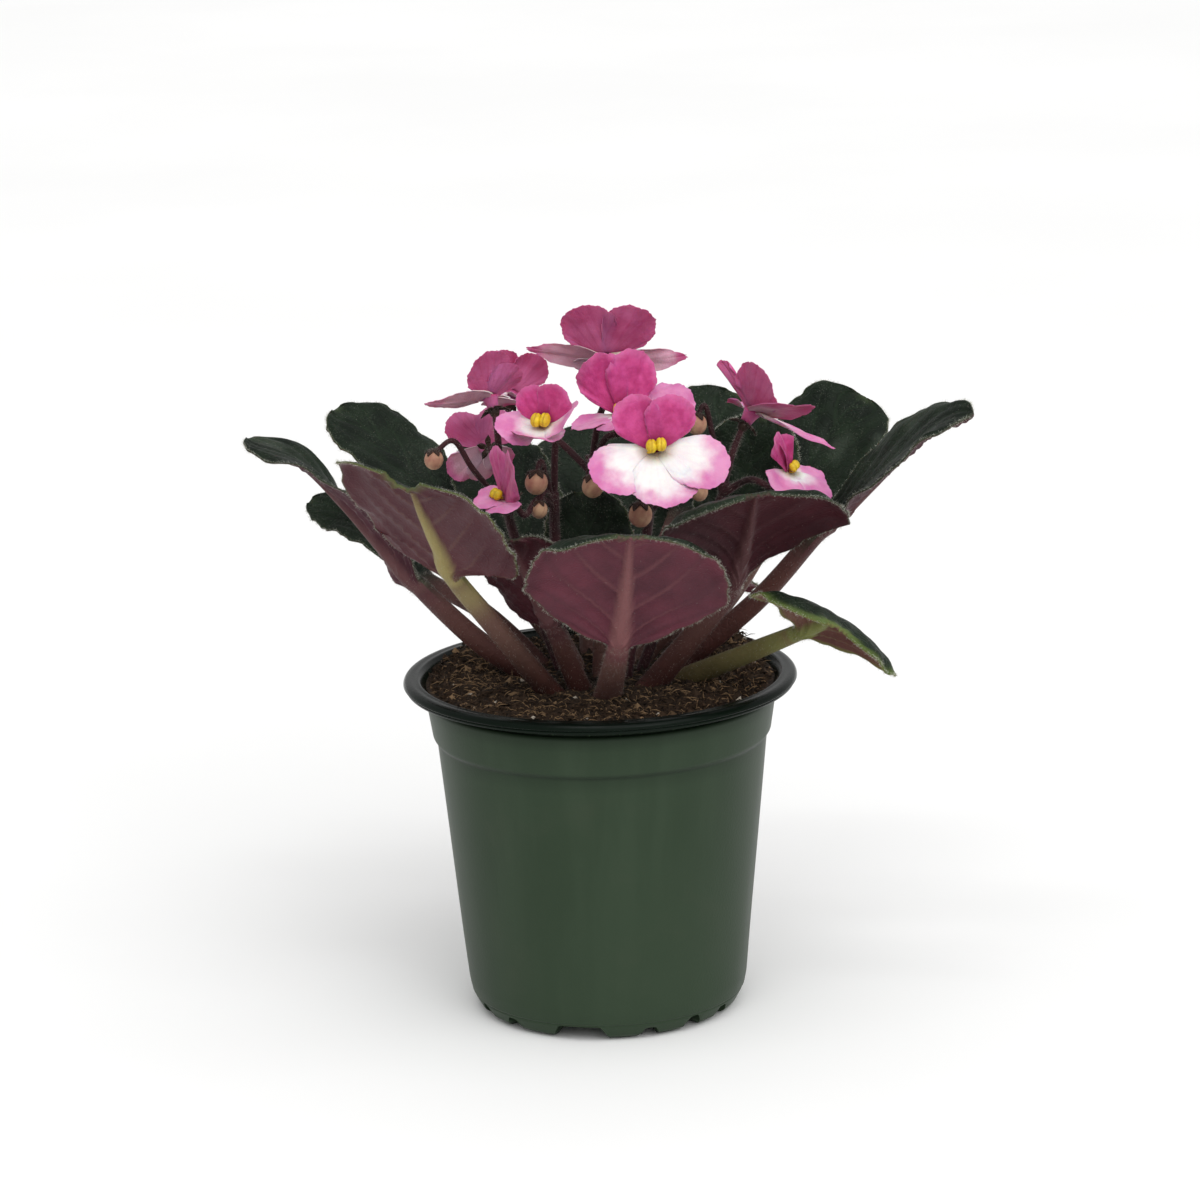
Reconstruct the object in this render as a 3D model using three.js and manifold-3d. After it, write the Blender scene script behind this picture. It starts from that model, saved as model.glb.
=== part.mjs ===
// African violet in a 4-inch nursery pot. Millimetres, Z up, pot axis on the origin, floor at Z = 0.
// The plant is seen from -Y. Each leaf, flower spray, corolla and pair of anthers is one grown piece.
import * as THREE from 'three';
import { mergeVertices } from 'three/addons/utils/BufferGeometryUtils.js';
import Module from 'manifold-3d';

const wasm = await Module();
wasm.setup();

// Pot
const RIM_RADIUS = 54;
const RIM_HEIGHT = 94.2;
const LIP_WIDTH = 4.8;
const COLLAR_RADIUS = 47.7;
const COLLAR_FOOT = 76.6;
const WALL_TOP_RADIUS = 45.4;
const WALL_FOOT_RADIUS = 38.5;
const WALL = 1.3;
const FOOT_RADIUS = 33.2;
const FLOOR_UNDERSIDE = 4.2;
const FLOOR_TOP = 5.7;
const POT_SIDES = 36;
const HOLE_SIDES = 7;
// Notches in the foot, as the angle from the front, the width along the foot and the height.
const NOTCHES = [
  [-64, 3.2, 2.2], [-46, 3.0, 1.6], [-12, 11.5, 4.0], [18, 4.2, 1.5], [38.5, 4.6, 3.0], [58, 3.4, 1.8],
];

// Soil
const SOIL_EDGE_HEIGHT = 90;
const SOIL_CROWN = 1.8;
const ROOT_DEPTH = 6;
const GAP = 0.35;

// Leaves
const BLADE_THICKNESS = 1.0;
const BLADE_COLUMNS = [-1, -0.55, -0.12, 0.12, 0.55, 1];
const BLADE_STATIONS = [0.09, 0.22, 0.37, 0.52, 0.67, 0.81, 0.92, 0.992];

// Blooms
const PETAL_THICKNESS = 0.8;
const TUBE_DEPTH = 3.6;
const THROAT_RADIUS = 2.4;
const LOBE_STATIONS = [0, 0.36, 0.72, 1];
const LOBE_COLUMNS = [-1, -0.78, -0.3, 0.3, 0.78];
// Each lobe: its direction from the top, half the angle that it fills, its length, its plane's tilt, and
// how far the cut reaches in on its two sides, as a share of its length.
const LOBES = [
  { turn: 0.56, spread: 0.56, length: 18, lean: 0.58, cuts: [0.86, 0.36] },
  { turn: 1.93, spread: 0.6, length: 19.5, lean: -0.42, cuts: [0.36, 0.74] },
  { turn: 3.1416, spread: 0.6116, length: 19, lean: -0.42, cuts: [0.74, 0.74] },
  { turn: 4.3532, spread: 0.6, length: 19.5, lean: -0.42, cuts: [0.74, 0.36] },
  { turn: 5.7232, spread: 0.56, length: 18, lean: 0.58, cuts: [0.36, 0.86] },
];

const v3 = (p) => new THREE.Vector3(...p);
const STEM_SIDE = new THREE.Vector3(0.31, 0.95, 0.07).normalize();

// Closed skin through rings of equal point count. The points of each ring run across the upper face and
// back across the lower one, and both faces are split into triangles along the same diagonals.
function skin(rings, ends = null) {
  const n = rings[0].length;
  const points = rings.flat();
  const faces = [];
  for (let i = 0; i < rings.length - 1; i++) {
    for (let j = 0; j < n; j++) {
      const a = i * n + j;
      const b = i * n + ((j + 1) % n);
      const c = b + n;
      const d = a + n;
      if (j < n / 2) faces.push([a, b, c], [a, c, d]);
      else faces.push([a, b, d], [b, c, d]);
    }
  }
  const last = (rings.length - 1) * n;
  if (ends) {
    points.push(...ends);
    for (let j = 0; j < n; j++) {
      const next = (j + 1) % n;
      faces.push([next, j, points.length - 2], [last + j, last + next, points.length - 1]);
    }
    return closedGeometry(points, faces);
  }
  for (let j = 0; j < n / 2 - 1; j++) {
    const [a, b, c, d] = [j, j + 1, n - 2 - j, n - 1 - j];
    faces.push([b, a, d], [last + a, last + b, last + d]);
    if (c !== b) faces.push([b, d, c], [last + b, last + c, last + d]);
  }
  return closedGeometry(points, faces);
}

// Geometry from points and triangles, turned so that its faces point out.
function closedGeometry(points, faces) {
  let volume = 0;
  for (const [a, b, c] of faces) {
    volume += points[a].dot(points[b].clone().cross(points[c]));
  }
  const order = volume < 0 ? faces.map(([a, b, c]) => [a, c, b]) : faces;
  const geometry = new THREE.BufferGeometry().setFromPoints(points);
  geometry.setIndex(order.flat());
  return geometry;
}

function toSolid(geometry) {
  const bare = geometry.clone();
  bare.deleteAttribute('normal');
  bare.deleteAttribute('uv');
  const merged = mergeVertices(bare, 1e-4);
  return new wasm.Manifold(new wasm.Mesh({
    numProp: 3,
    vertProperties: merged.attributes.position.array,
    triVerts: new Uint32Array(merged.index.array),
  }));
}

function toGeometry(solid) {
  const mesh = solid.getMesh();
  const geometry = new THREE.BufferGeometry();
  geometry.setAttribute('position', new THREE.BufferAttribute(mesh.vertProperties, 3));
  geometry.setIndex(new THREE.BufferAttribute(mesh.triVerts, 1));
  return geometry;
}

const joined = (geometries) => toGeometry(geometries.map(toSolid).reduce((a, b) => a.add(b)));

// Smooth curve through all the points, with the parameter shared evenly between them.
const curveThrough = (points) => new THREE.CatmullRomCurve3(points.map(v3), false, 'catmullrom', 0.5);

// Tangent, sideways and upward directions of a blade at a place on its midrib. A twisted blade has another
// sideways direction at its tip, and turns to it over the middle of its length.
function bladeFrame(curve, t, acrossBase, acrossTip = acrossBase) {
  const along = curve.getTangent(t);
  const turned = Math.min(1, Math.max(0, (t - 0.35) / 0.4));
  const across = acrossBase.clone().lerp(acrossTip, turned).normalize();
  const side = across.clone().addScaledVector(along, -across.dot(along)).normalize();
  const up = side.clone().cross(along);
  return { centre: curve.getPoint(t), along, side, up };
}

// Outline of a blade: 0 at the base and the tip, 1 at its widest place.
function outline(u, widest, baseFill, tipFill) {
  const x = u < widest ? (widest - u) / widest : (u - widest) / (1 - widest);
  const fill = u < widest ? baseFill : tipFill;
  return Math.pow(Math.max(0, 1 - Math.pow(x, fill)), 1 / fill);
}

function roundRing(frame, radius, count, grow = 0) {
  const ring = [];
  for (let j = 0; j < count; j++) {
    const angle = Math.PI - ((j + 0.5) * 2 * Math.PI) / count;
    ring.push(frame.centre.clone()
      .addScaledVector(frame.side, (radius + grow) * Math.cos(angle))
      .addScaledVector(frame.up, (radius * 0.85 + grow) * Math.sin(angle)));
  }
  return ring;
}

// Height of the loose top of the soil.
function soilHeight(x, y) {
  const r = Math.hypot(x, y);
  const hump = (cx, cy, height, reach) =>
    height * Math.exp(-((x - cx) ** 2 + (y - cy) ** 2) / (reach * reach));
  return SOIL_EDGE_HEIGHT + SOIL_CROWN * (1 - (r / 46) ** 2)
    + hump(38, 22, 5.5, 12) + hump(-34, 26, 3.5, 14) + hump(-30, -18, 1.2, 12) + hump(20, -26, 1.0, 10)
    + 0.35 * Math.sin(x * 0.41 + 1.3) * Math.cos(y * 0.37);
}

// Each leaf: where its stalk leaves the soil, points of the stalk up to the blade, points of the blade's
// midrib out to the tip, and the direction of its right side as seen from above.
const LEAVES = {
  leaf_front: {
    root: [1.6, -22], stalk: [[3.5, -31, 102.2], [5, -38, 110.7]],
    blade: [[6.5, -45, 122.6], [7.8, -53, 134.5], [8.7, -61.5, 145.4], [9, -69.5, 150]],
    across: [-1, 0, 0.06], halfWidth: 26.5, stalkRadius: [4.2, 3.0], widest: 0.42, baseFill: 1.5,
    tipFill: 2.1, cup: -0.25,
  },
  leaf_left_front: {
    root: [-13, -17], stalk: [[-25, -27, 111], [-37.9, -34, 130.1]],
    blade: [[-40.6, -40, 139.2], [-44, -47.5, 149.2], [-46.8, -55, 158.5], [-48.6, -62.5, 164]],
    across: [-0.85, 0.52, 0.145], halfWidth: 23.2, stalkRadius: [4.0, 2.8], widest: 0.5, baseFill: 2.8,
    tipFill: 2.8, cup: 0.15,
  },
  leaf_right_front: {
    root: [13, -14], stalk: [[23.9, -21, 107.3], [35.3, -27, 122.9]],
    blade: [[37.9, -34, 132.8], [39.9, -42, 143.1], [41.3, -50.5, 152.8], [41.9, -58, 158]],
    across: [-1, -0.15, -0.05], halfWidth: 25, stalkRadius: [4.2, 2.9], widest: 0.62, baseFill: 0.8,
    tipFill: 2, cup: -0.3,
  },
  leaf_left: {
    root: [-17, 0], stalk: [[-32.4, 1, 102.8], [-48.2, 6, 117.4]],
    blade: [[-57.8, 13, 127.6], [-69, 20, 139.2], [-81.5, 28, 149.3], [-95.8, 36, 155.2]],
    across: [-0.5, 1, -0.55], acrossTip: [-0.5, 1, 0.29], halfWidth: 14.5, stalkRadius: [4.2, 3.0],
    widest: 0.45, baseFill: 1.8, tipFill: 2.2, cup: 0.1,
  },
  leaf_left_low: {
    root: [-15, 11], stalk: [[-30.3, 22, 105], [-47, 34, 112.4]],
    blade: [[-55, 42, 118], [-63.8, 49, 124.4], [-72.7, 55, 129], [-81.6, 60, 131]],
    across: [-0.5, 0.9, 0.55], halfWidth: 8, stalkRadius: [3.4, 2.4], widest: 0.5, baseFill: 1.8,
    tipFill: 2.2, cup: 0.1,
  },
  leaf_left_back: {
    root: [-7, 15], stalk: [[-21.8, 28, 109.3], [-38.7, 40, 128]],
    blade: [[-47.6, 47, 137.4], [-56.8, 53, 145.8], [-65.7, 58, 152.8], [-73, 62, 157.2]],
    across: [0.5, 1, 0.35], halfWidth: 13.3, stalkRadius: [3.6, 2.5], widest: 0.5, baseFill: 1.8,
    tipFill: 2.2, cup: 0.2,
  },
  leaf_left_inner: {
    root: [-5, -15], stalk: [[-9, -20, 104], [-12, -24, 113]],
    blade: [[-15, -26, 120], [-18, -29, 127.5], [-20.5, -32, 135.5], [-22, -35, 141]],
    across: [-1, 0.3, 0.1], halfWidth: 13.5, stalkRadius: [3.6, 2.6], widest: 0.5, baseFill: 1.8,
    tipFill: 2.2, cup: 0.5,
  },
  leaf_right: {
    root: [19, 2], stalk: [[43.4, -4, 114], [59, -12, 133.5]],
    blade: [[68.9, -17, 144.6], [79.7, -22, 156], [90.4, -27, 165.6], [99.6, -32, 170.6]],
    across: [0, -1, -0.05], halfWidth: 15, stalkRadius: [4.0, 2.8], widest: 0.45, baseFill: 1.15,
    tipFill: 1.8, cup: 0.45,
  },
  leaf_right_low: {
    root: [20, -7], stalk: [[38.5, -17, 102], [52.6, -27, 110.3]],
    blade: [[58.5, -34, 114.8], [61.5, -41.5, 118.6], [62.7, -49, 120.4], [63, -57, 120.4]],
    across: [-0.83, -0.1, 0.555], halfWidth: 22.5, stalkRadius: [3.8, 2.4], widest: 0.5, baseFill: 1.05,
    tipFill: 2.2, cup: -0.45,
  },
  leaf_right_back: {
    root: [19, 13], stalk: [[36.8, 24, 108.6], [48.1, 34, 123.1]],
    blade: [[54.7, 40, 133], [62.4, 45, 143.4], [70, 50, 152.6], [76.4, 54, 158.4]],
    across: [0.62, -0.75, -0.4], halfWidth: 16.5, stalkRadius: [3.8, 2.6], widest: 0.55, baseFill: 1.8,
    tipFill: 2.8, cup: 0.2,
  },
  leaf_right_inner: {
    root: [9, 8], stalk: [[25.4, 10, 111], [35, 14.5, 126]],
    blade: [[38.7, 17, 134], [42, 20, 143], [44.7, 22.8, 151.5], [46.5, 25, 159]],
    across: [0.9, -0.5, -0.15], halfWidth: 15, stalkRadius: [3.2, 2.3], widest: 0.5, baseFill: 1.8,
    tipFill: 2.2, cup: 0.3,
  },
  leaf_back_right: {
    root: [5, 18], stalk: [[14.5, 31, 109], [22.5, 42, 127]],
    blade: [[28, 49, 136.5], [33, 55, 145], [37, 60.5, 152.5], [40.5, 65, 158]],
    across: [0.95, -0.3, -0.15], halfWidth: 17, stalkRadius: [3.6, 2.5], widest: 0.5, baseFill: 1.8,
    tipFill: 2.2, cup: 0.3,
  },
  leaf_back: {
    root: [-2, 22], stalk: [[-2.5, 33, 105], [-1, 41, 115]],
    blade: [[0, 48, 124], [1.5, 54.5, 133], [3, 60.5, 141.5], [4, 66, 149]],
    across: [1, 0.05, 0.05], halfWidth: 21.5, stalkRadius: [3.8, 2.6], widest: 0.5, baseFill: 2.8,
    tipFill: 2.2, cup: 0.2,
  },
  leaf_back_left: {
    root: [-6, 5], stalk: [[-15, 20, 109], [-19, 30, 119]],
    blade: [[-22, 37, 128], [-25, 44, 136], [-28, 50.5, 143], [-30, 57, 148.5]],
    across: [1, 0.4, 0.3], halfWidth: 14, stalkRadius: [3.0, 2.2], widest: 0.5, baseFill: 2.6,
    tipFill: 2.2, cup: 0.3,
  },
  leaf_back_low: {
    root: [12.5, 21], stalk: [[26, 36, 100.5], [31, 47, 103]],
    blade: [[33, 53, 104], [34.5, 59, 104], [35.5, 64, 103], [36, 68, 101]],
    across: [0.85, -0.55, -0.05], halfWidth: 11, stalkRadius: [3.4, 2.4], widest: 0.5, baseFill: 1.8,
    tipFill: 2.2, cup: 0.15,
  },
  leaf_centre: {
    root: [0, -4], stalk: [[0.5, -4, 108], [0, -3, 118]],
    blade: [[-1, -2, 124], [-2, 0, 131], [-3, 2, 138], [-4, 4, 144]],
    across: [1, 0.1, 0], halfWidth: 12, stalkRadius: [2.4, 1.8], widest: 0.5, baseFill: 1.8,
    tipFill: 2.2, cup: 0.5,
  },
};

function leafCurve(leaf) {
  const [x, y] = leaf.root;
  const ground = soilHeight(x, y);
  return curveThrough([[x, y, ground - ROOT_DEPTH], [x, y, ground], ...leaf.stalk, ...leaf.blade]);
}

// Places along the whole midrib: the stalk takes its own share of the control points.
function leafPlaces(leaf) {
  const joint = (1 + leaf.stalk.length) / (1 + leaf.stalk.length + leaf.blade.length);
  const stalk = [0, 0.3, 0.6, 1].map((s) => s * joint);
  const blade = BLADE_STATIONS.map((u) => joint + u * (1 - joint));
  return { joint, stalk, blade };
}

// A point of the blade's middle surface, with the direction that its thickness is measured in.
function bladePoint(leaf, frame, u, v) {
  const width = leaf.halfWidth * outline(u, leaf.widest, leaf.baseFill, leaf.tipFill) + 0.6;
  const bend = leaf.cup * v;
  const reach = Math.abs(leaf.cup) > 0.01 ? width * Math.sin(bend) / leaf.cup : width * v;
  const rise = Math.abs(leaf.cup) > 0.01 ? width * (1 - Math.cos(bend)) / leaf.cup : 0;
  const wave = 0.5 * Math.sin(u * 17 + v * 2) * v * v;
  const place = frame.centre.clone()
    .addScaledVector(frame.side, reach)
    .addScaledVector(frame.up, rise + wave);
  const normal = frame.up.clone().multiplyScalar(Math.cos(bend));
  normal.addScaledVector(frame.side, -Math.sin(bend));
  return { place, normal };
}

function leafGeometry(leaf) {
  const curve = leafCurve(leaf);
  const places = leafPlaces(leaf);
  const across = [v3(leaf.across), v3(leaf.acrossTip ?? leaf.across)];
  const [rootRadius, jointRadius] = leaf.stalkRadius;
  const rings = places.stalk.map((t) => {
    const radius = rootRadius + (jointRadius - rootRadius) * (t / places.joint);
    return roundRing(bladeFrame(curve, t, ...across), radius, BLADE_COLUMNS.length * 2);
  });
  places.blade.forEach((t, i) => {
    const u = BLADE_STATIONS[i];
    const frame = bladeFrame(curve, t, ...across);
    const rib = jointRadius * 0.95 * Math.pow(1 - u, 0.8);
    const upper = [];
    const lower = [];
    for (const v of BLADE_COLUMNS) {
      const { place, normal } = bladePoint(leaf, frame, u, v);
      const ribHere = Math.abs(v) < 0.2 ? rib : 0;
      upper.push(place.clone().addScaledVector(normal, BLADE_THICKNESS / 2));
      lower.unshift(place.clone().addScaledVector(normal, -BLADE_THICKNESS / 2 - ribHere));
    }
    rings.push([...upper, ...lower]);
  });
  return skin(rings);
}

// Hole in the soil round the foot of a stalk or stem, from a little below it to above the surface.
function holeGeometry(curve, places, radii, across) {
  const rings = places.map((t, i) => roundRing(bladeFrame(curve, t, across), radii[i], HOLE_SIDES, GAP));
  rings.unshift(rings[0].map((p) => p.clone().add(new THREE.Vector3(0, 0, -0.5))));
  return skin(rings);
}

function leafHole(leaf) {
  const places = leafPlaces(leaf);
  const [rootRadius, jointRadius] = leaf.stalkRadius;
  const stalk = places.stalk.slice(0, 3);
  const radii = stalk.map((t) => (rootRadius + (jointRadius - rootRadius) * (t / places.joint)) * 1.18);
  return holeGeometry(leafCurve(leaf), stalk, radii, v3(leaf.across));
}

// Tube along a curve, with its radius running evenly from one end to the other.
function stem(points, startRadius, endRadius, steps, sides = 6) {
  const curve = curveThrough(points);
  const rings = [];
  for (let i = 0; i <= steps; i++) {
    const frame = bladeFrame(curve, i / steps, STEM_SIDE);
    rings.push(roundRing(frame, startRadius + (endRadius - startRadius) * (i / steps), sides));
  }
  return skin(rings);
}

// Each bloom: its throat, the way it faces, the way its two upper lobes point and its size. For some also
// how narrow it is, and how much further the lobes of one that isn't fully open lean in.
const BLOOMS = {
  bloom_main: { throat: [16.2, -35, 163.8], facing: [0.08, -0.93, 0.36], upward: [0, 0.3, 1], size: 1 },
  bloom_behind_main: {
    throat: [8, -3, 166.6], facing: [0.05, -0.85, 0.5], upward: [-0.2, 0.4, 1], size: 1.05, width: 0.8,
  },
  bloom_top: {
    throat: [4.2, 14, 178.5], facing: [0, 0.57, 0.82], upward: [0.08, -0.3, 1], size: 1, cupped: 1.6,
  },
  bloom_left_front: {
    throat: [-12.7, -22, 168.3], facing: [-0.35, -0.8, 0.46], upward: [0.2, 0.3, 1], size: 0.74,
    width: 0.85, cupped: 1.2,
  },
  bloom_left_top: {
    throat: [-27.5, 0, 171.5], facing: [-0.25, 0.5, 0.83], upward: [0.3, -0.3, 1], size: 0.87,
  },
  bloom_left_back: {
    throat: [-22.5, 27, 167], facing: [0.1, 0.6, 0.77], upward: [0.2, -0.2, 1], size: 0.8,
  },
  bloom_left_low: {
    throat: [-25.8, -27, 150.5], facing: [-0.75, -0.35, 0.5], upward: [0.5, 0, 1], size: 0.76,
  },
  bloom_left_turned: {
    throat: [-29.5, 7, 156.5], facing: [-0.3, 0.94, -0.1], upward: [0, 0, 1], size: 0.74,
  },
  bloom_right: {
    throat: [43.3, 5, 164.5], facing: [0.55, 0.35, 0.76], upward: [-0.2, -0.4, 0.85], size: 0.95,
    cupped: 1.6,
  },
  bloom_right_low: {
    throat: [51.9, -15, 152.3], facing: [0.68, -0.45, 0.58], upward: [-0.3, 0.1, 1], size: 0.7,
  },
};

function bloomFrame(bloom) {
  const z = v3(bloom.facing).normalize();
  const y = v3(bloom.upward);
  y.addScaledVector(z, -y.dot(z)).normalize();
  const x = y.clone().cross(z);
  const size = new THREE.Vector3(bloom.size * (bloom.width ?? 1), bloom.size, bloom.size);
  return new THREE.Matrix4().makeBasis(x, y, z).scale(size).setPosition(v3(bloom.throat));
}

// A place on the corolla: the five lobes lie in two planes that meet at the throat, the two upper lobes
// in one and the three lower lobes in the other. It gives the place and the front face's direction there.
function lobePoint(lobe, v, s, seed, cupped) {
  const cut = v < 0 ? lobe.cuts[0] : lobe.cuts[1];
  const reach = lobe.length * (1 - (1 - cut) * Math.pow(Math.abs(v), 4));
  const distance = THROAT_RADIUS + (reach - THROAT_RADIUS) * s;
  const angle = lobe.turn + v * lobe.spread;
  const rise = distance * Math.cos(angle);
  const ripple = (0.8 * Math.sin(seed + lobe.turn * 3 + v * 3.1 + s * 3) + 0.7 * v * v) * s;
  const lean = lobe.lean < 0 ? lobe.lean * cupped : lobe.lean;
  const normal = new THREE.Vector3(0, -Math.sin(lean), Math.cos(lean));
  const place = new THREE.Vector3(distance * Math.sin(angle), rise * Math.cos(lean), rise * Math.sin(lean));
  return { place: place.addScaledVector(normal, ripple), normal };
}

// The corolla's rings run round all five lobes, out over the front face and back over the rear face.
function corollaGeometry(seed, cupped = 1) {
  const columns = [];
  LOBES.forEach((lobe, i) => {
    const before = LOBES[(i + LOBES.length - 1) % LOBES.length];
    for (const v of LOBE_COLUMNS) {
      columns.push(v === -1 ? [[lobe, -1], [before, 1]] : [[lobe, v]]);
    }
  });
  const ring = (s, offset) => columns.map((owners) => {
    const sum = new THREE.Vector3();
    const normal = new THREE.Vector3();
    for (const [lobe, v] of owners) {
      const point = lobePoint(lobe, v, s, seed, cupped);
      sum.addScaledVector(point.place, 1 / owners.length);
      normal.add(point.normal);
    }
    return sum.addScaledVector(normal.normalize(), offset);
  });
  const tubeRing = (radius, z) => columns.map((owners) => {
    const [lobe, v] = owners[0];
    const angle = lobe.turn + v * lobe.spread;
    return new THREE.Vector3(radius * Math.sin(angle), radius * Math.cos(angle), z);
  });
  const half = PETAL_THICKNESS / 2;
  const rings = [
    ...LOBE_STATIONS.map((s) => ring(s, half)),
    ...LOBE_STATIONS.toReversed().map((s) => ring(s, -half)),
    tubeRing(1.7, -TUBE_DEPTH),
  ];
  return skin(rings, [new THREE.Vector3(0, 0, -0.9), new THREE.Vector3(0, 0, -TUBE_DEPTH)]);
}

// Two round anthers side by side on one short stalk that stands just clear of the throat.
function anthersGeometry() {
  const ball = (x) => new THREE.SphereGeometry(1.4, 5, 4).scale(1, 1.25, 0.95).translate(x, 0.4, 3.3);
  const stalk = new THREE.CylinderGeometry(0.6, 0.6, 2.9, 4).rotateX(Math.PI / 2).translate(0, 0.1, 1.75);
  return joined([stalk, ball(-1.15), ball(1.15)]);
}

// Five sepals as a star, its top face just behind the corolla's tube.
function calyxGeometry(reach) {
  const star = (z, outer, inner) => {
    const ring = [];
    for (let j = 0; j < 10; j++) {
      const angle = (j * Math.PI) / 5;
      const radius = j % 2 ? inner : outer;
      ring.push(new THREE.Vector3(radius * Math.sin(angle), radius * Math.cos(angle), z));
    }
    return ring;
  };
  const top = -TUBE_DEPTH - GAP;
  return skin([star(top - 2.4, 0.9, 0.9), star(top - 0.8, reach, 1.5), star(top, reach, 1.5)]);
}

// Each spray: its main stalk from the soil, the blooms on it and its closed buds.
const SPRAYS = {
  spray_centre: {
    root: [-8, -8], main: [[-10.5, -12, 112], [-11, -14, 132], [-11, -14, 148]], radius: [2.1, 1.6],
    blooms: ['bloom_left_front', 'bloom_left_low'],
    buds: [{ centre: [-15.5, -21.5, 152.5], size: 3.1 }, { centre: [-15, -21, 145], size: 2.3 }],
  },
  spray_left: {
    root: [-10, 2], main: [[-17, 1, 114], [-22, 0, 132], [-25, -1, 144]], radius: [1.9, 1.4],
    blooms: ['bloom_left_top', 'bloom_left_turned'],
    buds: [{ centre: [-43, -10, 157], size: 2.6 }],
  },
  spray_back: {
    root: [0, 7], main: [[0, 10, 114], [-1, 12, 134], [-1, 13, 152]], radius: [2.0, 1.5],
    blooms: ['bloom_top', 'bloom_behind_main', 'bloom_left_back'],
    buds: [{ centre: [-0.5, -6, 147.5], size: 3 }],
  },
  spray_front: {
    root: [7, -7], main: [[10, -9, 112], [13, -11, 130], [15, -13, 145]], radius: [2.0, 1.5],
    blooms: ['bloom_main'],
    buds: [{ centre: [12, -22, 143], size: 3.2 }, { centre: [28, -14, 147], size: 2.4 }],
  },
  spray_right: {
    root: [10.5, 0.5], main: [[20, 2, 114], [30, 2, 132], [36, 1, 146]], radius: [1.9, 1.4],
    blooms: ['bloom_right', 'bloom_right_low'],
    buds: [{ centre: [28, -2, 163], size: 2.8 }],
  },
};

function sprayMain(spray) {
  const [x, y] = spray.root;
  const ground = soilHeight(x, y);
  return [[x, y, ground - ROOT_DEPTH], [x, y, ground], ...spray.main];
}

function sprayGeometry(spray) {
  const main = sprayMain(spray);
  const fork = v3(main[main.length - 1]);
  const below = v3(main[main.length - 2]).lerp(fork, 0.75);
  const pieces = [stem(main, spray.radius[0], spray.radius[1], 6)];
  for (const name of spray.blooms) {
    const bloom = BLOOMS[name];
    const frame = bloomFrame(bloom);
    const back = v3([0, 0, -TUBE_DEPTH - 1.8]).applyMatrix4(frame);
    const behind = v3([0, -1.5, -TUBE_DEPTH - 7]).applyMatrix4(frame);
    const middle = fork.clone().lerp(behind, 0.5).add(new THREE.Vector3(0, 0, 1.5));
    const path = [below, middle, behind, back].map((p) => p.toArray());
    pieces.push(stem(path, 1.15, 0.95, 5, 5));
    pieces.push(calyxGeometry(4.6).applyMatrix4(frame));
  }
  for (const bud of spray.buds) {
    const centre = v3(bud.centre);
    const over = centre.clone().lerp(fork, 0.3);
    over.z = centre.z + bud.size * 1.7;
    const path = [below, fork.clone().lerp(over, 0.6).setZ((fork.z + over.z) / 2), over, centre];
    pieces.push(stem(path.map((p) => p.toArray()), 1.0, 0.8, 4, 5));
    const round = new THREE.SphereGeometry(bud.size, 6, 5).rotateX(Math.PI / 2).scale(1, 1, 1.15);
    pieces.push(round.translate(centre.x, centre.y, centre.z));
  }
  return joined(pieces);
}

function sprayHole(spray) {
  const steps = [0, 1 / 6, 2 / 6];
  const [rootRadius, topRadius] = spray.radius;
  const radii = steps.map((t) => (rootRadius + (topRadius - rootRadius) * t) * 1.16);
  return holeGeometry(curveThrough(sprayMain(spray)), steps, radii, STEM_SIDE);
}

// Pot: one closed profile turned round the axis, then the notches cut through the foot.
function potGeometry() {
  const lipInner = RIM_RADIUS - LIP_WIDTH;
  const profile = [
    [0, FLOOR_UNDERSIDE], [30, FLOOR_UNDERSIDE], [30.2, 0], [FOOT_RADIUS, 0], [36.2, 1.5], [37.8, 4],
    [WALL_FOOT_RADIUS, 8], [WALL_TOP_RADIUS, COLLAR_FOOT], [46.6, COLLAR_FOOT + 1.2],
    [COLLAR_RADIUS, RIM_HEIGHT - 3.4], [52.6, RIM_HEIGHT - 3], [RIM_RADIUS, RIM_HEIGHT - 1.9],
    [53.4, RIM_HEIGHT - 0.5], [52.2, RIM_HEIGHT], [lipInner + 0.6, RIM_HEIGHT],
    [lipInner - 0.4, RIM_HEIGHT - 1], [COLLAR_RADIUS - WALL, RIM_HEIGHT - 4.5],
    [46.6 - WALL, COLLAR_FOOT + 2], [WALL_TOP_RADIUS - WALL, COLLAR_FOOT],
    [WALL_FOOT_RADIUS - WALL, 8], [36, FLOOR_TOP], [0, FLOOR_TOP],
  ];
  const turned = new THREE.LatheGeometry(profile.map(([r, z]) => new THREE.Vector2(r, z)), POT_SIDES);
  let solid = toSolid(turned.rotateX(Math.PI / 2));
  for (const half of [0, Math.PI]) {
    for (const [angle, width, height] of NOTCHES) {
      const shape = new THREE.Shape();
      shape.moveTo(-width / 2 - height * 0.25, -1);
      shape.lineTo(width / 2 + height * 0.25, -1);
      shape.lineTo(width / 2 - height * 0.2, height);
      shape.lineTo(-width / 2 + height * 0.2, height);
      shape.closePath();
      const cut = new THREE.ExtrudeGeometry(shape, { depth: 14, bevelEnabled: false });
      cut.rotateX(Math.PI / 2).translate(0, -27, 0).rotateZ(half + (angle * Math.PI) / 180);
      solid = solid.subtract(toSolid(cut));
    }
  }
  return toGeometry(solid);
}

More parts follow.
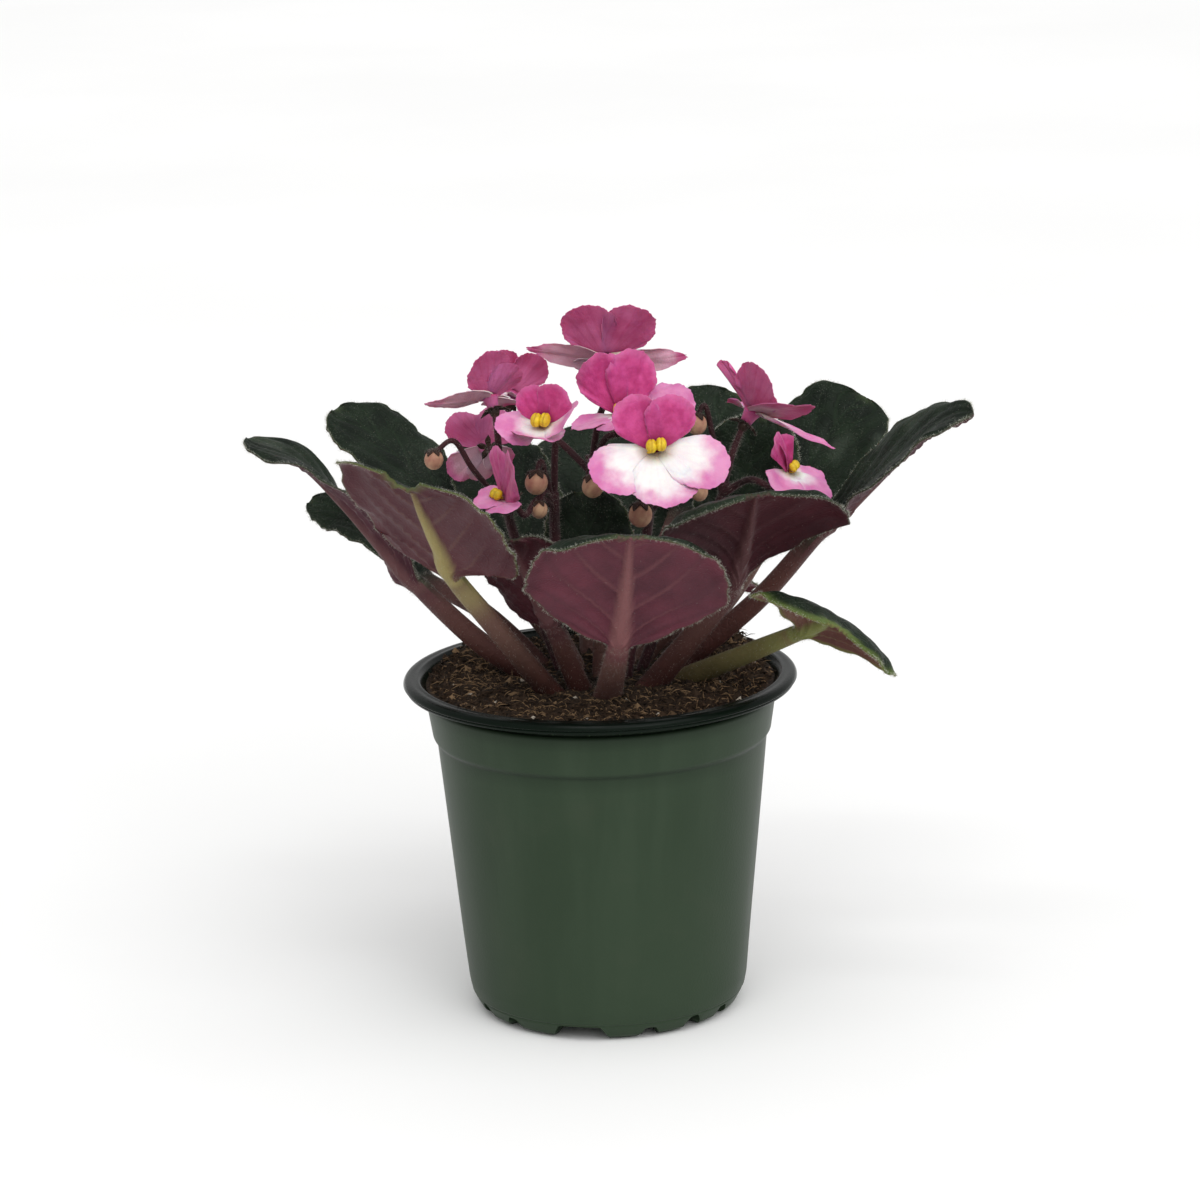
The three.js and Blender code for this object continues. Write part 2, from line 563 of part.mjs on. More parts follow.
// Soil: it fills the pot up to its loose top, and the stalks and stems stand in holes in it.
function soilGeometry() {
  const gap = GAP;
  const walls = [
    [35.4, FLOOR_TOP + gap], [WALL_FOOT_RADIUS - WALL - gap, 8.6],
    [WALL_TOP_RADIUS - WALL - gap - 0.1, COLLAR_FOOT + 0.2], [46.4 - WALL - gap, COLLAR_FOOT + 2.6],
  ];
  const ringAt = (radius, height) => {
    const ring = [];
    for (let j = 0; j < POT_SIDES; j++) {
      const angle = (j * 2 * Math.PI) / POT_SIDES;
      const x = radius * Math.sin(angle);
      const y = radius * Math.cos(angle);
      ring.push(new THREE.Vector3(x, y, height ?? soilHeight(x, y)));
    }
    return ring;
  };
  const edge = ringAt(46.1 - gap - 0.2);
  edge.forEach((p) => { p.z = SOIL_EDGE_HEIGHT - 0.6; });
  const rings = [...walls.map(([r, z]) => ringAt(r, z)), edge, ...[43, 33, 22, 11].map((r) => ringAt(r))];
  const points = [...rings.flat(), new THREE.Vector3(0, 0, FLOOR_TOP + gap)];
  points.push(new THREE.Vector3(0, 0, soilHeight(0, 0)));
  const faces = [];
  for (let i = 0; i < rings.length - 1; i++) {
    for (let j = 0; j < POT_SIDES; j++) {
      const a = i * POT_SIDES + j;
      const b = i * POT_SIDES + ((j + 1) % POT_SIDES);
      faces.push([a, b, b + POT_SIDES], [a, b + POT_SIDES, a + POT_SIDES]);
    }
  }
  const first = points.length - 2;
  const last = (rings.length - 1) * POT_SIDES;
  for (let j = 0; j < POT_SIDES; j++) {
    const next = (j + 1) % POT_SIDES;
    faces.push([next, j, first], [last + j, last + next, first + 1]);
  }
  let solid = toSolid(closedGeometry(points, faces));
  for (const leaf of Object.values(LEAVES)) solid = solid.subtract(toSolid(leafHole(leaf)));
  for (const spray of Object.values(SPRAYS)) solid = solid.subtract(toSolid(sprayHole(spray)));
  return toGeometry(solid);
}

const potPlastic = new THREE.MeshStandardMaterial({ color: 0x3c4a39, roughness: 0.6, metalness: 0 });
const peat = new THREE.MeshStandardMaterial({ color: 0x2e1f17, roughness: 1, metalness: 0 });
const leafSkin = new THREE.MeshStandardMaterial({ color: 0x2a3a2b, roughness: 0.7, metalness: 0 });
const petalPink = new THREE.MeshStandardMaterial({ color: 0xc9609d, roughness: 0.6, metalness: 0 });
const antherYellow = new THREE.MeshStandardMaterial({ color: 0xf2cf1b, roughness: 0.6, metalness: 0 });
const stemMaroon = new THREE.MeshStandardMaterial({ color: 0x3d1c22, roughness: 0.7, metalness: 0 });

const violet = new THREE.Group();

function addPiece(name, geometry, material) {
  geometry.computeVertexNormals();
  const mesh = new THREE.Mesh(geometry, material.clone());
  mesh.name = name;
  violet.add(mesh);
  return mesh;
}

addPiece('pot', potGeometry(), potPlastic);
addPiece('soil', soilGeometry(), peat);
for (const [name, leaf] of Object.entries(LEAVES)) addPiece(name, leafGeometry(leaf), leafSkin);
for (const [name, spray] of Object.entries(SPRAYS)) addPiece(name, sprayGeometry(spray), stemMaroon);
Object.entries(BLOOMS).forEach(([name, bloom], index) => {
  const frame = bloomFrame(bloom);
  addPiece(name, corollaGeometry(index * 1.7, bloom.cupped), petalPink).applyMatrix4(frame);
  addPiece(`${name}_anthers`, anthersGeometry(), antherYellow).applyMatrix4(frame);
});

export default violet;
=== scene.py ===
# African violet in a nursery pot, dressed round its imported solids. Sizes in the lists are millimetres.
import math

import bpy
import numpy as np
from mathutils import Matrix, Vector


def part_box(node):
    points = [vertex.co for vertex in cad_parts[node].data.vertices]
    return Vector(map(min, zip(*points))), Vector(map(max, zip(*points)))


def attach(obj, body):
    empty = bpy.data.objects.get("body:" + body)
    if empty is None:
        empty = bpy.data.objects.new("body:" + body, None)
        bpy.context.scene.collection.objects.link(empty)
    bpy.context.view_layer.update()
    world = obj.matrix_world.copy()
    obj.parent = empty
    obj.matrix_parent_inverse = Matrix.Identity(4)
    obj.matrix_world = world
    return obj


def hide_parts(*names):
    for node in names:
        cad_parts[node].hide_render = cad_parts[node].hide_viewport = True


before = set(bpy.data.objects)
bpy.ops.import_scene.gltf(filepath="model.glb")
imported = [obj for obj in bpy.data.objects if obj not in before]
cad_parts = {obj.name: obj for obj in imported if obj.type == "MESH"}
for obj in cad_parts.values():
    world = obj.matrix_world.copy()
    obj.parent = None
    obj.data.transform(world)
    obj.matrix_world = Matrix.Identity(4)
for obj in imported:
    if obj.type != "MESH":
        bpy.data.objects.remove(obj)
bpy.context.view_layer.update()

mm = 0.001
fullTurn = 2 * math.pi
scene = bpy.context.scene
scene.view_settings.view_transform = "Standard"


# Node helpers: each call adds one node and gives back the socket that comes out of it.
class Desk:
    def __init__(self, tree):
        self.tree = tree

    def feed(self, socket, value):
        if isinstance(value, bpy.types.NodeSocket):
            self.tree.links.new(value, socket)
        elif isinstance(value, (tuple, list)) and len(value) == 3 and socket.type == "RGBA":
            socket.default_value = (*value, 1)
        else:
            socket.default_value = value

    def node(self, kind, **settings):
        made = self.tree.nodes.new(kind)
        for name, value in settings.items():
            setattr(made, name, value)
        return made

    def value(self, name):
        return self.node("ShaderNodeAttribute", attribute_name=name).outputs["Fac"]

    def place(self):
        return self.node("ShaderNodeTexCoord").outputs["Object"]

    def math(self, operation, a, b=0.5):
        made = self.node("ShaderNodeMath", operation=operation)
        self.feed(made.inputs[0], a)
        self.feed(made.inputs[1], b)
        return made.outputs[0]

    def plus(self, a, b):
        return self.math("ADD", a, b)

    def minus(self, a, b):
        return self.math("SUBTRACT", a, b)

    def times(self, a, b):
        return self.math("MULTIPLY", a, b)

    def mask(self, value, low, high):
        made = self.node("ShaderNodeMapRange", interpolation_type="SMOOTHSTEP")
        for name, given in (("Value", value), ("From Min", low), ("From Max", high)):
            self.feed(made.inputs[name], given)
        return made.outputs["Result"]

    # The other way round: one below the low value and nothing above the high one.
    def below(self, value, low, high):
        return self.minus(1.0, self.mask(value, low, high))

    def mix(self, share, a, b):
        made = self.node("ShaderNodeMix", data_type="RGBA")
        for index, given in ((0, share), (6, a), (7, b)):
            self.feed(made.inputs[index], given)
        return made.outputs[2]

    # Lays a tone over another where a mask says so, at a given strength.
    def tint(self, under, over, mask, strength):
        return self.mix(self.times(mask, strength), under, over)

    def noise(self, scale, detail=3.0, stretch=None):
        made = self.node("ShaderNodeTexNoise")
        place = self.place()
        if stretch:
            mapping = self.node("ShaderNodeMapping")
            self.feed(mapping.inputs["Vector"], place)
            mapping.inputs["Scale"].default_value = stretch
            place = mapping.outputs["Vector"]
        self.feed(made.inputs["Vector"], place)
        self.feed(made.inputs["Scale"], scale)
        self.feed(made.inputs["Detail"], detail)
        return made.outputs["Fac"]

    def cells(self, scale, feature="F1"):
        made = self.node("ShaderNodeTexVoronoi", feature=feature)
        self.feed(made.inputs["Vector"], self.place())
        self.feed(made.inputs["Scale"], scale)
        return made.outputs["Distance"]

    def group(self, tree, **given):
        made = self.node("ShaderNodeGroup", node_tree=tree)
        for name, value in given.items():
            self.feed(made.inputs[name], value)
        return made.outputs

    # Feeds the colour and the roughness of a shader, and the relief that bends its normals.
    def finish(self, into, colour, relief=None, strength=0.4, distance=0.0002, roughness=None):
        self.feed(into["Base Color"], colour)
        if roughness is not None:
            self.feed(into["Roughness"], roughness)
        if relief is not None:
            made = self.node("ShaderNodeBump")
            for name, given in (("Height", relief), ("Strength", strength), ("Distance", distance)):
                self.feed(made.inputs[name], given)
            self.feed(into["Normal"], made.outputs["Normal"])


def newGroup(name, inputs, outputs):
    tree = bpy.data.node_groups.new(name, "ShaderNodeTree")
    kinds = {"colour": "NodeSocketColor", "number": "NodeSocketFloat"}
    for socketName, kind, default in inputs:
        socket = tree.interface.new_socket(name=socketName, in_out="INPUT", socket_type=kinds[kind])
        socket.default_value = (*default, 1) if kind == "colour" else default
    for socketName, kind in outputs:
        tree.interface.new_socket(name=socketName, in_out="OUTPUT", socket_type=kinds[kind])
    desk = Desk(tree)
    return tree, desk, desk.node("NodeGroupInput").outputs, desk.node("NodeGroupOutput").inputs


# Colour that drifts between a dark and a light tone in soft patches.
def makeMottle():
    tree, desk, given, out = newGroup(
        "mottle",
        [("Dark", "colour", (0, 0, 0)), ("Light", "colour", (1, 1, 1)), ("Scale", "number", 100.0),
         ("Contrast", "number", 0.2)],
        [("Colour", "colour"), ("Patches", "number")])
    low, high = desk.minus(0.5, given["Contrast"]), desk.plus(0.5, given["Contrast"])
    patches = desk.mask(desk.noise(given["Scale"], detail=4.0), low, high)
    desk.feed(out["Colour"], desk.mix(patches, given["Dark"], given["Light"]))
    desk.feed(out["Patches"], patches)
    return tree


# Side veins of a leaf: how many pairs, how far they sweep towards the tip and how that grows outwards, how
# far the right ones start past the left ones, and their width. The group and the leaf meshes share these.
vein = {"pairs": 4.3, "sweep": 0.62, "bend": 1.2, "stagger": 0.42, "width": 0.09, "midribWidth": 0.035,
        "fade": (0.35, 0.85)}


# Side veins that leave the midrib in pairs and sweep towards the tip, and the swelling between them.
def makeVeins():
    tree, desk, given, out = newGroup(
        "branchingVeins",
        [("Along", "number", 0.0), ("Across", "number", 0.0), ("Pairs", "number", 6.0),
         ("Sweep", "number", 0.35), ("Width", "number", 0.06)],
        [("Vein", "number"), ("Quilt", "number")])
    off = desk.math("ABSOLUTE", given["Across"])
    bent = desk.times(desk.math("POWER", off, vein["bend"]), given["Sweep"])
    shift = desk.times(desk.math("GREATER_THAN", given["Across"], 0.0), vein["stagger"])
    phase = desk.times(desk.minus(given["Along"], bent), given["Pairs"])
    wholePairs = 20.0    # keeps the phase positive on the stalk, where along is below zero
    phase = desk.math("FRACT", desk.plus(desk.plus(phase, shift), wholePairs))
    fromVein = desk.minus(0.5, desk.math("ABSOLUTE", desk.minus(phase, 0.5)))
    thick = desk.times(given["Width"], desk.minus(1.7, off))
    side = desk.times(desk.below(fromVein, 0.0, thick), desk.below(off, *vein["fade"]))
    desk.feed(out["Vein"], desk.math("MAXIMUM", side, desk.below(off, 0.0, vein["midribWidth"])))
    desk.feed(out["Quilt"], desk.times(fromVein, 2.0))
    return tree


# Fine pale down: small dots of light on a matt skin.
def makeDown():
    tree, desk, given, out = newGroup(
        "fineDown", [("Scale", "number", 2200.0), ("Size", "number", 0.3)],
        [("Dots", "number"), ("Height", "number")])
    dots = desk.below(desk.cells(given["Scale"]), 0.0, given["Size"])
    patches = desk.mask(desk.noise(scale=180.0), 0.35, 0.65)
    desk.feed(out["Dots"], desk.times(dots, patches))
    desk.feed(out["Height"], dots)
    return tree


# Moulded plastic: fine grain, faint drawn streaks and a little peat dust.
def makeGrain():
    tree, desk, given, out = newGroup(
        "mouldedGrain", [("Scale", "number", 1500.0), ("Dust", "number", 0.5)],
        [("Height", "number"), ("Streaks", "number"), ("Dusty", "number")])
    dust = desk.mask(desk.noise(scale=60.0, detail=6.0), 0.55, 0.8)
    specks = desk.below(desk.cells(scale=420.0), 0.02, 0.1)
    desk.feed(out["Height"], desk.noise(given["Scale"], detail=2.0))
    desk.feed(out["Streaks"], desk.noise(scale=90.0, detail=4.0, stretch=(1.0, 1.0, 0.12)))
    desk.feed(out["Dusty"], desk.times(desk.math("MAXIMUM", dust, specks), given["Dust"]))
    return tree


mottle, branchingVeins, fineDown, mouldedGrain = makeMottle(), makeVeins(), makeDown(), makeGrain()


def mottled(desk, tones, scale, contrast=0.2):
    return desk.group(mottle, Dark=tones[0], Light=tones[1], Scale=scale, Contrast=contrast)


def newMaterial(name, **uniform):
    material = bpy.data.materials.new(name)
    material.use_nodes = True
    shader = material.node_tree.nodes["Principled BSDF"]
    for socket, value in uniform.items():
        shader.inputs[socket.replace("_", " ")].default_value = value
    return material, Desk(material.node_tree), shader.inputs


# Points in millimetres with their faces, finishes and surface values, gathered into one object.
class Shape:
    def __init__(self, *valueNames):
        self.points, self.faces, self.finishes, self.smooth = [], [], [], []
        self.values = {name: [] for name in valueNames}
        self.count = 0

    # Faces come in blocks of one corner count, with one finish for all blocks or one for each.
    def add(self, points, faces, finish=0, smooth=True, **values):
        points = np.asarray(points, float).reshape(-1, 3)
        for corners, blockFinish in zip(faces, np.broadcast_to(finish, len(faces))):
            self.faces.append(np.asarray(corners, int) + self.count)
            self.finishes.append(np.full(len(corners), blockFinish))
            self.smooth.append(np.full(len(corners), smooth))
        for name, gathered in self.values.items():
            gathered.append(np.broadcast_to(np.asarray(values.get(name, 0.0), float), len(points)))
        self.points.append(points)
        self.count += len(points)

    # A closed skin through rings, at the place that a matrix gives.
    def addRings(self, rings, finish=0, matrix=None, **values):
        points, faces = skinOf(rings)
        self.add(points if matrix is None else toPlace(matrix, points), faces, finish, **values)

    def toObject(self, name, materials, node):
        mesh = bpy.data.meshes.new(name)
        points = np.concatenate(self.points) * mm
        corners = np.concatenate([f.ravel() for f in self.faces])
        sizes = np.concatenate([np.full(len(f), f.shape[1]) for f in self.faces])
        mesh.vertices.add(len(points))
        mesh.vertices.foreach_set("co", points.ravel())
        mesh.loops.add(len(corners))
        mesh.loops.foreach_set("vertex_index", corners)
        mesh.polygons.add(len(sizes))
        mesh.polygons.foreach_set("loop_start", np.cumsum(sizes) - sizes)
        for material in materials:
            mesh.materials.append(material)
        mesh.polygons.foreach_set("material_index", np.concatenate(self.finishes))
        mesh.polygons.foreach_set("use_smooth", np.concatenate(self.smooth))
        for valueName, gathered in self.values.items():
            attribute = mesh.attributes.new(valueName, "FLOAT", "POINT")
            attribute.data.foreach_set("value", np.concatenate(gathered).astype(np.float32))
        mesh.update(calc_edges=True)
        mesh.validate()
        piece = bpy.data.objects.new(name, mesh)
        scene.collection.objects.link(piece)
        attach(piece, "root")
        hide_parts(node)
        print(name, "triangles", int((sizes - 2).sum()))
        return piece


# Mesh helpers
def unit(vectors):
    return vectors / np.maximum(np.linalg.norm(vectors, axis=-1, keepdims=True), 1e-9)


# Goes softly from nothing at the low value to one at the high value.
def ease(x, low, high):
    x = np.clip((x - low) / (high - low), 0, 1)
    return x * x * (3 - 2 * x)


def bell(x, spread):
    return np.exp(-(x / spread) ** 2)


# A sum of waves, each with its turns, its share of the seed and its height.
def waves(x, seed, parts):
    return sum(height * np.sin(x * turns + seed * share) for turns, share, height in parts)


def ringFaces(rows, columns):
    start = np.arange(rows - 1)[:, None] * columns
    a = start + np.arange(columns)
    b = start + (np.arange(columns) + 1) % columns
    return np.stack([a, b, b + columns, a + columns], -1).reshape(-1, 4)


def zipFaces(columns, first, flip):
    j = np.arange(columns // 2 - 1) + first
    back = first + columns - 1 - np.arange(columns // 2 - 1)
    faces = np.stack([j, j + 1, back - 1, back], -1)
    return faces[:, ::-1] if flip else faces


def outwards(points, faces):
    corners = [np.asarray(f) for f in faces]
    volume = 0.0
    for f in corners:
        for k in range(1, f.shape[1] - 1):
            a, b, c = points[f[:, 0]], points[f[:, k]], points[f[:, k + 1]]
            volume += np.einsum("ij,ij->", a, np.cross(b, c))
    return corners if volume > 0 else [f[:, ::-1] for f in corners]


# A closed skin through rings whose points run over the upper face and back under the lower one.
def skinOf(rings):
    rows, columns = rings.shape[:2]
    points = rings.reshape(-1, 3)
    faces = [ringFaces(rows, columns), zipFaces(columns, 0, True),
             zipFaces(columns, (rows - 1) * columns, False)]
    return points, outwards(points, faces)


# Rings of a thin sheet from its upper and its lower face.
def bothSides(upper, lower):
    return np.concatenate([upper, lower[:, ::-1]], 1)


# Rings of an outline of radius and height, turned round the upright axis.
def turnedRings(outline, count):
    outline = np.asarray(outline, float)
    angle = np.arange(count) * fullTurn / count
    return np.stack([np.outer(outline[:, 0], np.sin(angle)), np.outer(outline[:, 0], np.cos(angle)),
                     np.repeat(outline[:, 1:], count, 1)], -1)


# Angles round and down a ball that stays open by a small angle at both ends.
def ballAngles(sides, rows, opening):
    return (np.linspace(0, fullTurn, sides, endpoint=False),
            np.linspace(opening, math.pi - opening, rows)[:, None])


def curvePoint(points, t):
    last = len(points) - 1
    place = np.clip(t, 0, 1) * last
    index = np.minimum(place.astype(int), last - 1)
    w = (place - index)[:, None]
    padded = np.vstack([2 * points[0] - points[1], points, 2 * points[-1] - points[-2]])
    p0, p1, p2, p3 = (padded[index + k] for k in range(4))
    pull0, pull1 = (p2 - p0) / 2, (p3 - p1) / 2
    return (p1 + pull0 * w + (3 * (p2 - p1) - 2 * pull0 - pull1) * w ** 2
            + (2 * (p1 - p2) + pull0 + pull1) * w ** 3)


# Centre, along, side and up directions at places on a curve. The side can turn between base and tip.
def curveFrames(points, t, acrossBase, acrossTip=None):
    points = np.asarray(points, float)
    step, turnFrom, turnLength = 1e-4, 0.35, 0.4
    along = unit(curvePoint(points, t + step) - curvePoint(points, t - step))
    base = np.asarray(acrossBase, float)
    tip = base if acrossTip is None else np.asarray(acrossTip, float)
    across = unit(base + (tip - base) * np.clip((t - turnFrom) / turnLength, 0, 1)[:, None])
    side = unit(across - (across * along).sum(1, keepdims=True) * along)
    return curvePoint(points, t), along, side, np.cross(side, along)


# Slightly flat rings along a curve, as stalks have.
def roundRing(centre, side, up, radius, count, flatness=0.85):
    angle = math.pi - (np.arange(count) + 0.5) * fullTurn / count
    radius = np.broadcast_to(np.asarray(radius, float), len(centre))[:, None, None]
    return (centre[:, None] + radius * np.cos(angle)[None, :, None] * side[:, None]
            + flatness * radius * np.sin(angle)[None, :, None] * up[:, None])


# Normals of a skin's rings, pointing out.
def ringNormals(rings):
    around = np.roll(rings, -1, 1) - np.roll(rings, 1, 1)
    normals = unit(np.cross(around, np.gradient(rings, axis=0)))
    outward = ((rings - rings.mean(1, keepdims=True)) * normals).sum()
    return normals if outward > 0 else -normals


hair = {
    "dark": (0.16, 0.10, 0.09), "light": (0.36, 0.29, 0.26), "pale": (0.7, 0.72, 0.62), "patches": 70.0,
    "rooted": 0.08, "toneSpread": 0.5, "besideSpread": 0.4, "corners": (0, 2.094, 4.189),
}


# Hairs as slender three-sided needles that stand on rings of points, at random rows and lengths between the
# given ones, all round or beside the given columns.
def addHairs(shape, rings, rowSpan, lengthSpan, amount, width, rng, finish, lean=0.35, tone=0.0, beside=None):
    normals = ringNormals(rings)
    count = rings.shape[1]
    rows = rng.uniform(*rowSpan, amount)
    if beside is None:
        columns = rng.uniform(0, count, amount)
    else:
        columns = rng.choice(beside, amount)
        columns = (columns + rng.normal(scale=hair["besideSpread"], size=amount)) % count
    lengths = rng.uniform(*lengthSpan, amount)
    r0 = np.minimum(rows.astype(int), len(rings) - 2)
    c0 = columns.astype(int) % count
    c1 = (c0 + 1) % count
    wr, wc = (rows - r0)[:, None], (columns - np.floor(columns))[:, None]

    def between(grid):
        near = grid[r0, c0] * (1 - wc) + grid[r0, c1] * wc
        far = grid[r0 + 1, c0] * (1 - wc) + grid[r0 + 1, c1] * wc
        return near * (1 - wr) + far * wr

    roots = between(rings)
    stand = unit(between(normals))
    directions = unit(stand + lean * rng.normal(size=roots.shape))
    side = unit(np.cross(directions, rng.normal(size=roots.shape)))
    other = np.cross(directions, side)
    tips = roots + directions * lengths[:, None]
    roots = roots - stand * hair["rooted"]
    corners = [roots + width * (math.cos(a) * side + math.sin(a) * other) for a in hair["corners"]]
    points = np.stack([*corners, tips], 1)
    first = np.arange(len(roots))[:, None] * 4
    faces = np.concatenate([first + np.array(f) for f in ((0, 1, 3), (1, 2, 3), (2, 0, 3), (2, 1, 0))])
    tones = tone + hair["toneSpread"] * rng.random(len(roots))
    shape.add(points, [faces], finish, hairTone=np.repeat(tones, 4))


def makeHair():
    material, desk, into = newMaterial("paleHair", Roughness=0.5, Specular_IOR_Level=0.2)
    tones = mottled(desk, (hair["dark"], hair["light"]), hair["patches"])
    desk.finish(into, desk.mix(desk.value("hairTone"), tones["Colour"], hair["pale"]))
    return material


paleHair = makeHair()

# Pot: one moulded outline turned round the axis, with notches in its foot and stacking ribs under its lip.
potLow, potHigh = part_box("pot")
rim, top = (potHigh.x - potLow.x) / 2 / mm, potHigh.z / mm
pot = {
    "sides": 288,
    # corners of the green outside and then of the black lip and inside: radius, height, rounding
    "outside": [
        (0, 4.2, 0), (30.0, 4.2, 0.4), (30.9, 0, 0.25), (34.0, 0, 0.4), (36.0, 1.2, 0.4), (37.5, 4.0, 0.3),
        (37.45, 4.5, 0.2), (37.95, 4.9, 0.2), (38.6, 8.0, 1.0), (45.4, 76.6, 0.5), (46.5, 77.9, 0.6),
        (48.1, top - 6.0, 0.5), (47.6, top - 5.4, 0.2), (46.7, top - 5.2, 0.3), (46.9, top - 3.3, 0.3)],
    "lip": [
        (46.9, top - 3.3, 0), (52.2, top - 3.2, 0.3), (53.2, top - 3.0, 0.25), (53.5, top - 2.35, 0.2),
        (53.25, top - 2.1, 0.15), (rim, top - 1.8, 0.25), (rim, top - 1.2, 0.4), (53.4, top - 0.3, 0.5),
        (52.2, top, 0.5), (50.9, top - 0.12, 0.4), (49.8, top, 0.4), (48.8, top - 1, 0.5),
        (46.4, top - 4.5, 0.6), (45.3, 78.6, 0.6), (44.1, 76.6, 0.6), (37.2, 8, 0.8), (36, 5.7, 0.4),
        (0, 5.7, 0)],
    # the foot: how high it reaches, the radius of its inner side, and heights and radii of its outer edge
    "footTop": 4.19, "footInner": 31.5, "footEdge": ((0, 1.2, 4.0), (34.0, 36.0, 37.5)),
    # angle from the front, width and height of each notch, repeated on the far side
    "notches": [(-66, 4.8, 4.1), (-46, 4.6, 3.5), (-13, 13.4, 4.15), (17.5, 4.6, 3.0), (38.5, 4.8, 4.1),
                (57, 4.8, 3.7)],
    "notchRadius": 35.0,
    # how far the wall wanders out of round, from which radius, and the heights where that grows and ends
    "wobble": 0.12, "wobbleInner": 20, "wobbleGrows": 30, "wobbleEnds": 86,
    "ribAngles": (-52, -33, -16, -4, 6, 13, 24, 33, 41, 52, 70, 98, 131, 164, 192, 221, 250, 283),
    "ribHalf": 0.22, "ribCorners": ((46.6, top - 3.3), (48.3, top - 3.2), (46.6, top - 5.6)),
    # painted shade: darker bands under the lip and under the collar, where shade falls: height, spread,
    # strength
    "shade": ((top - 3, 3.6, 0.85), (76.9, 0.9, 0.5)),
    "green": ((0.023, 0.040, 0.0215), (0.030, 0.049, 0.028)),
    "black": ((0.002, 0.0024, 0.0027), (0.004, 0.0046, 0.005)),
    # colour of the painted shade under the lip and the collar, then of the peat dust
    "sheltered": (0.003, 0.008, 0.004), "dust": (0.10, 0.085, 0.065),
}


def makePotFinish(name, tones, dust, roughness, shine):
    material, desk, into = newMaterial(name, Specular_IOR_Level=shine)
    grain = desk.group(mouldedGrain, Scale=1600.0, Dust=dust)
    tone = mottled(desk, tones, scale=14.0, contrast=0.3)["Colour"]
    streaky = desk.mix(desk.mask(grain["Streaks"], 0.42, 0.7), tone, tones[1])
    dusty = desk.mix(grain["Dusty"], streaky, pot["dust"])
    # Painted shade darkens the bands under the lip and the collar.
    desk.finish(into, desk.mix(desk.value("sheltered"), dusty, pot["sheltered"]), grain["Height"],
                strength=0.35, distance=0.00012,
                roughness=desk.plus(desk.times(grain["Streaks"], 0.16), roughness))
    return material


# An outline through rounded corners, with no side longer than the longest.
def filleted(corners, longest=4.0, steps=4):
    outline = [np.array(corners[0][:2], float)]
    for before, here, after in zip(corners, corners[1:], corners[2:]):
        p0, p1, p2 = (np.array(p[:2], float) for p in (before, here, after))
        start = p1 + (p0 - p1) / np.linalg.norm(p0 - p1) * here[2]
        end = p1 + (p2 - p1) / np.linalg.norm(p2 - p1) * here[2]
        for t in np.linspace(0, 1, steps + 1):
            outline.append((1 - t) ** 2 * start + 2 * t * (1 - t) * p1 + t ** 2 * end)
    outline.append(np.array(corners[-1][:2], float))
    dense = [outline[0]]
    for a, b in zip(outline, outline[1:]):
        pieces = max(1, math.ceil(np.linalg.norm(b - a) / longest))
        dense += [a + (b - a) * k / pieces for k in range(1, pieces + 1)]
    return np.array(dense)


def notchHeight(angle):
    height = np.zeros_like(angle)
    for half in (0, 180):
        for place, width, tall in pot["notches"]:
            away = (angle - place - half + 180) % 360 - 180
            off = np.abs(np.radians(away)) * pot["notchRadius"]
            slope = np.clip((width / 2 + tall * 0.3 - off) / (tall * 0.6), 0, 1)
            height = np.maximum(height, tall * slope)
    return height


def addRibs(shape):
    ends = np.array([(0, 2, 1), (3, 4, 5)])
    sides = np.array([(0, 1, 4, 3), (1, 2, 5, 4), (2, 0, 3, 5)])
    for a in np.radians(pot["ribAngles"]):
        side, out = np.array([math.cos(a), math.sin(a), 0]), np.array([math.sin(a), -math.cos(a), 0])
        corners = np.array([out * radius + side * across + np.array([0, 0, height])
                            for across in (-pot["ribHalf"], pot["ribHalf"])
                            for radius, height in pot["ribCorners"]])
        shape.add(corners, outwards(corners, [ends, sides]), smooth=False)


def makePot():
    outside, lip = filleted(pot["outside"]), filleted(pot["lip"], longest=12.0)
    outline = np.vstack([outside, lip[1:]])
    columns = len(outline)
    turn = (np.arange(pot["sides"]) * fullTurn / pot["sides"])[:, None]
    radius, height = outline[:, 0] + 0 * turn, outline[:, 1] + 0 * turn
    notch = notchHeight(np.degrees(turn))
    foot = height < pot["footTop"]
    lifted = np.where(foot, np.maximum(height, notch), height)
    notched = foot & (radius > pot["footInner"]) & (notch > height)
    radius = np.where(notched, np.maximum(radius, np.interp(lifted, *pot["footEdge"])), radius)
    wave = np.sin(3 * turn + height * 0.03) + 0.5 * np.sin(7 * turn - height * 0.05)
    wave = wave * ease(height, 0, pot["wobbleGrows"]) * (height < pot["wobbleEnds"])
    radius = np.where(radius > pot["wobbleInner"], radius + pot["wobble"] * wave, radius)
    points = np.stack([radius * np.sin(turn), -radius * np.cos(turn), lifted], -1).reshape(-1, 3)
    here = np.arange(pot["sides"])[:, None] * columns + np.arange(columns - 1)
    there = (here + columns) % len(points)
    faces = np.stack([here, there, there + 1, here + 1], -1)
    wall = len(outside) - 1
    blocks = outwards(points, [faces[:, :wall].reshape(-1, 4), faces[:, wall:].reshape(-1, 4)])
    # Painted shade: how far each point is darkened, strongest at the heights of the bands under the lip and
    # the collar.
    sheltered = [strength * bell(points[:, 2] - level, spread) for level, spread, strength in pot["shade"]]
    shape = Shape("sheltered")
    shape.add(points, blocks, (0, 1), sheltered=np.maximum(*sheltered))
    addRibs(shape)
    greens = makePotFinish("potGreen", pot["green"], dust=0.05, roughness=0.34, shine=0.13)
    blacks = makePotFinish("potBlack", pot["black"], dust=0.02, roughness=0.12, shine=0.07)
    return shape.toObject("nurseryPot", [greens, blacks], "pot")


makePot()

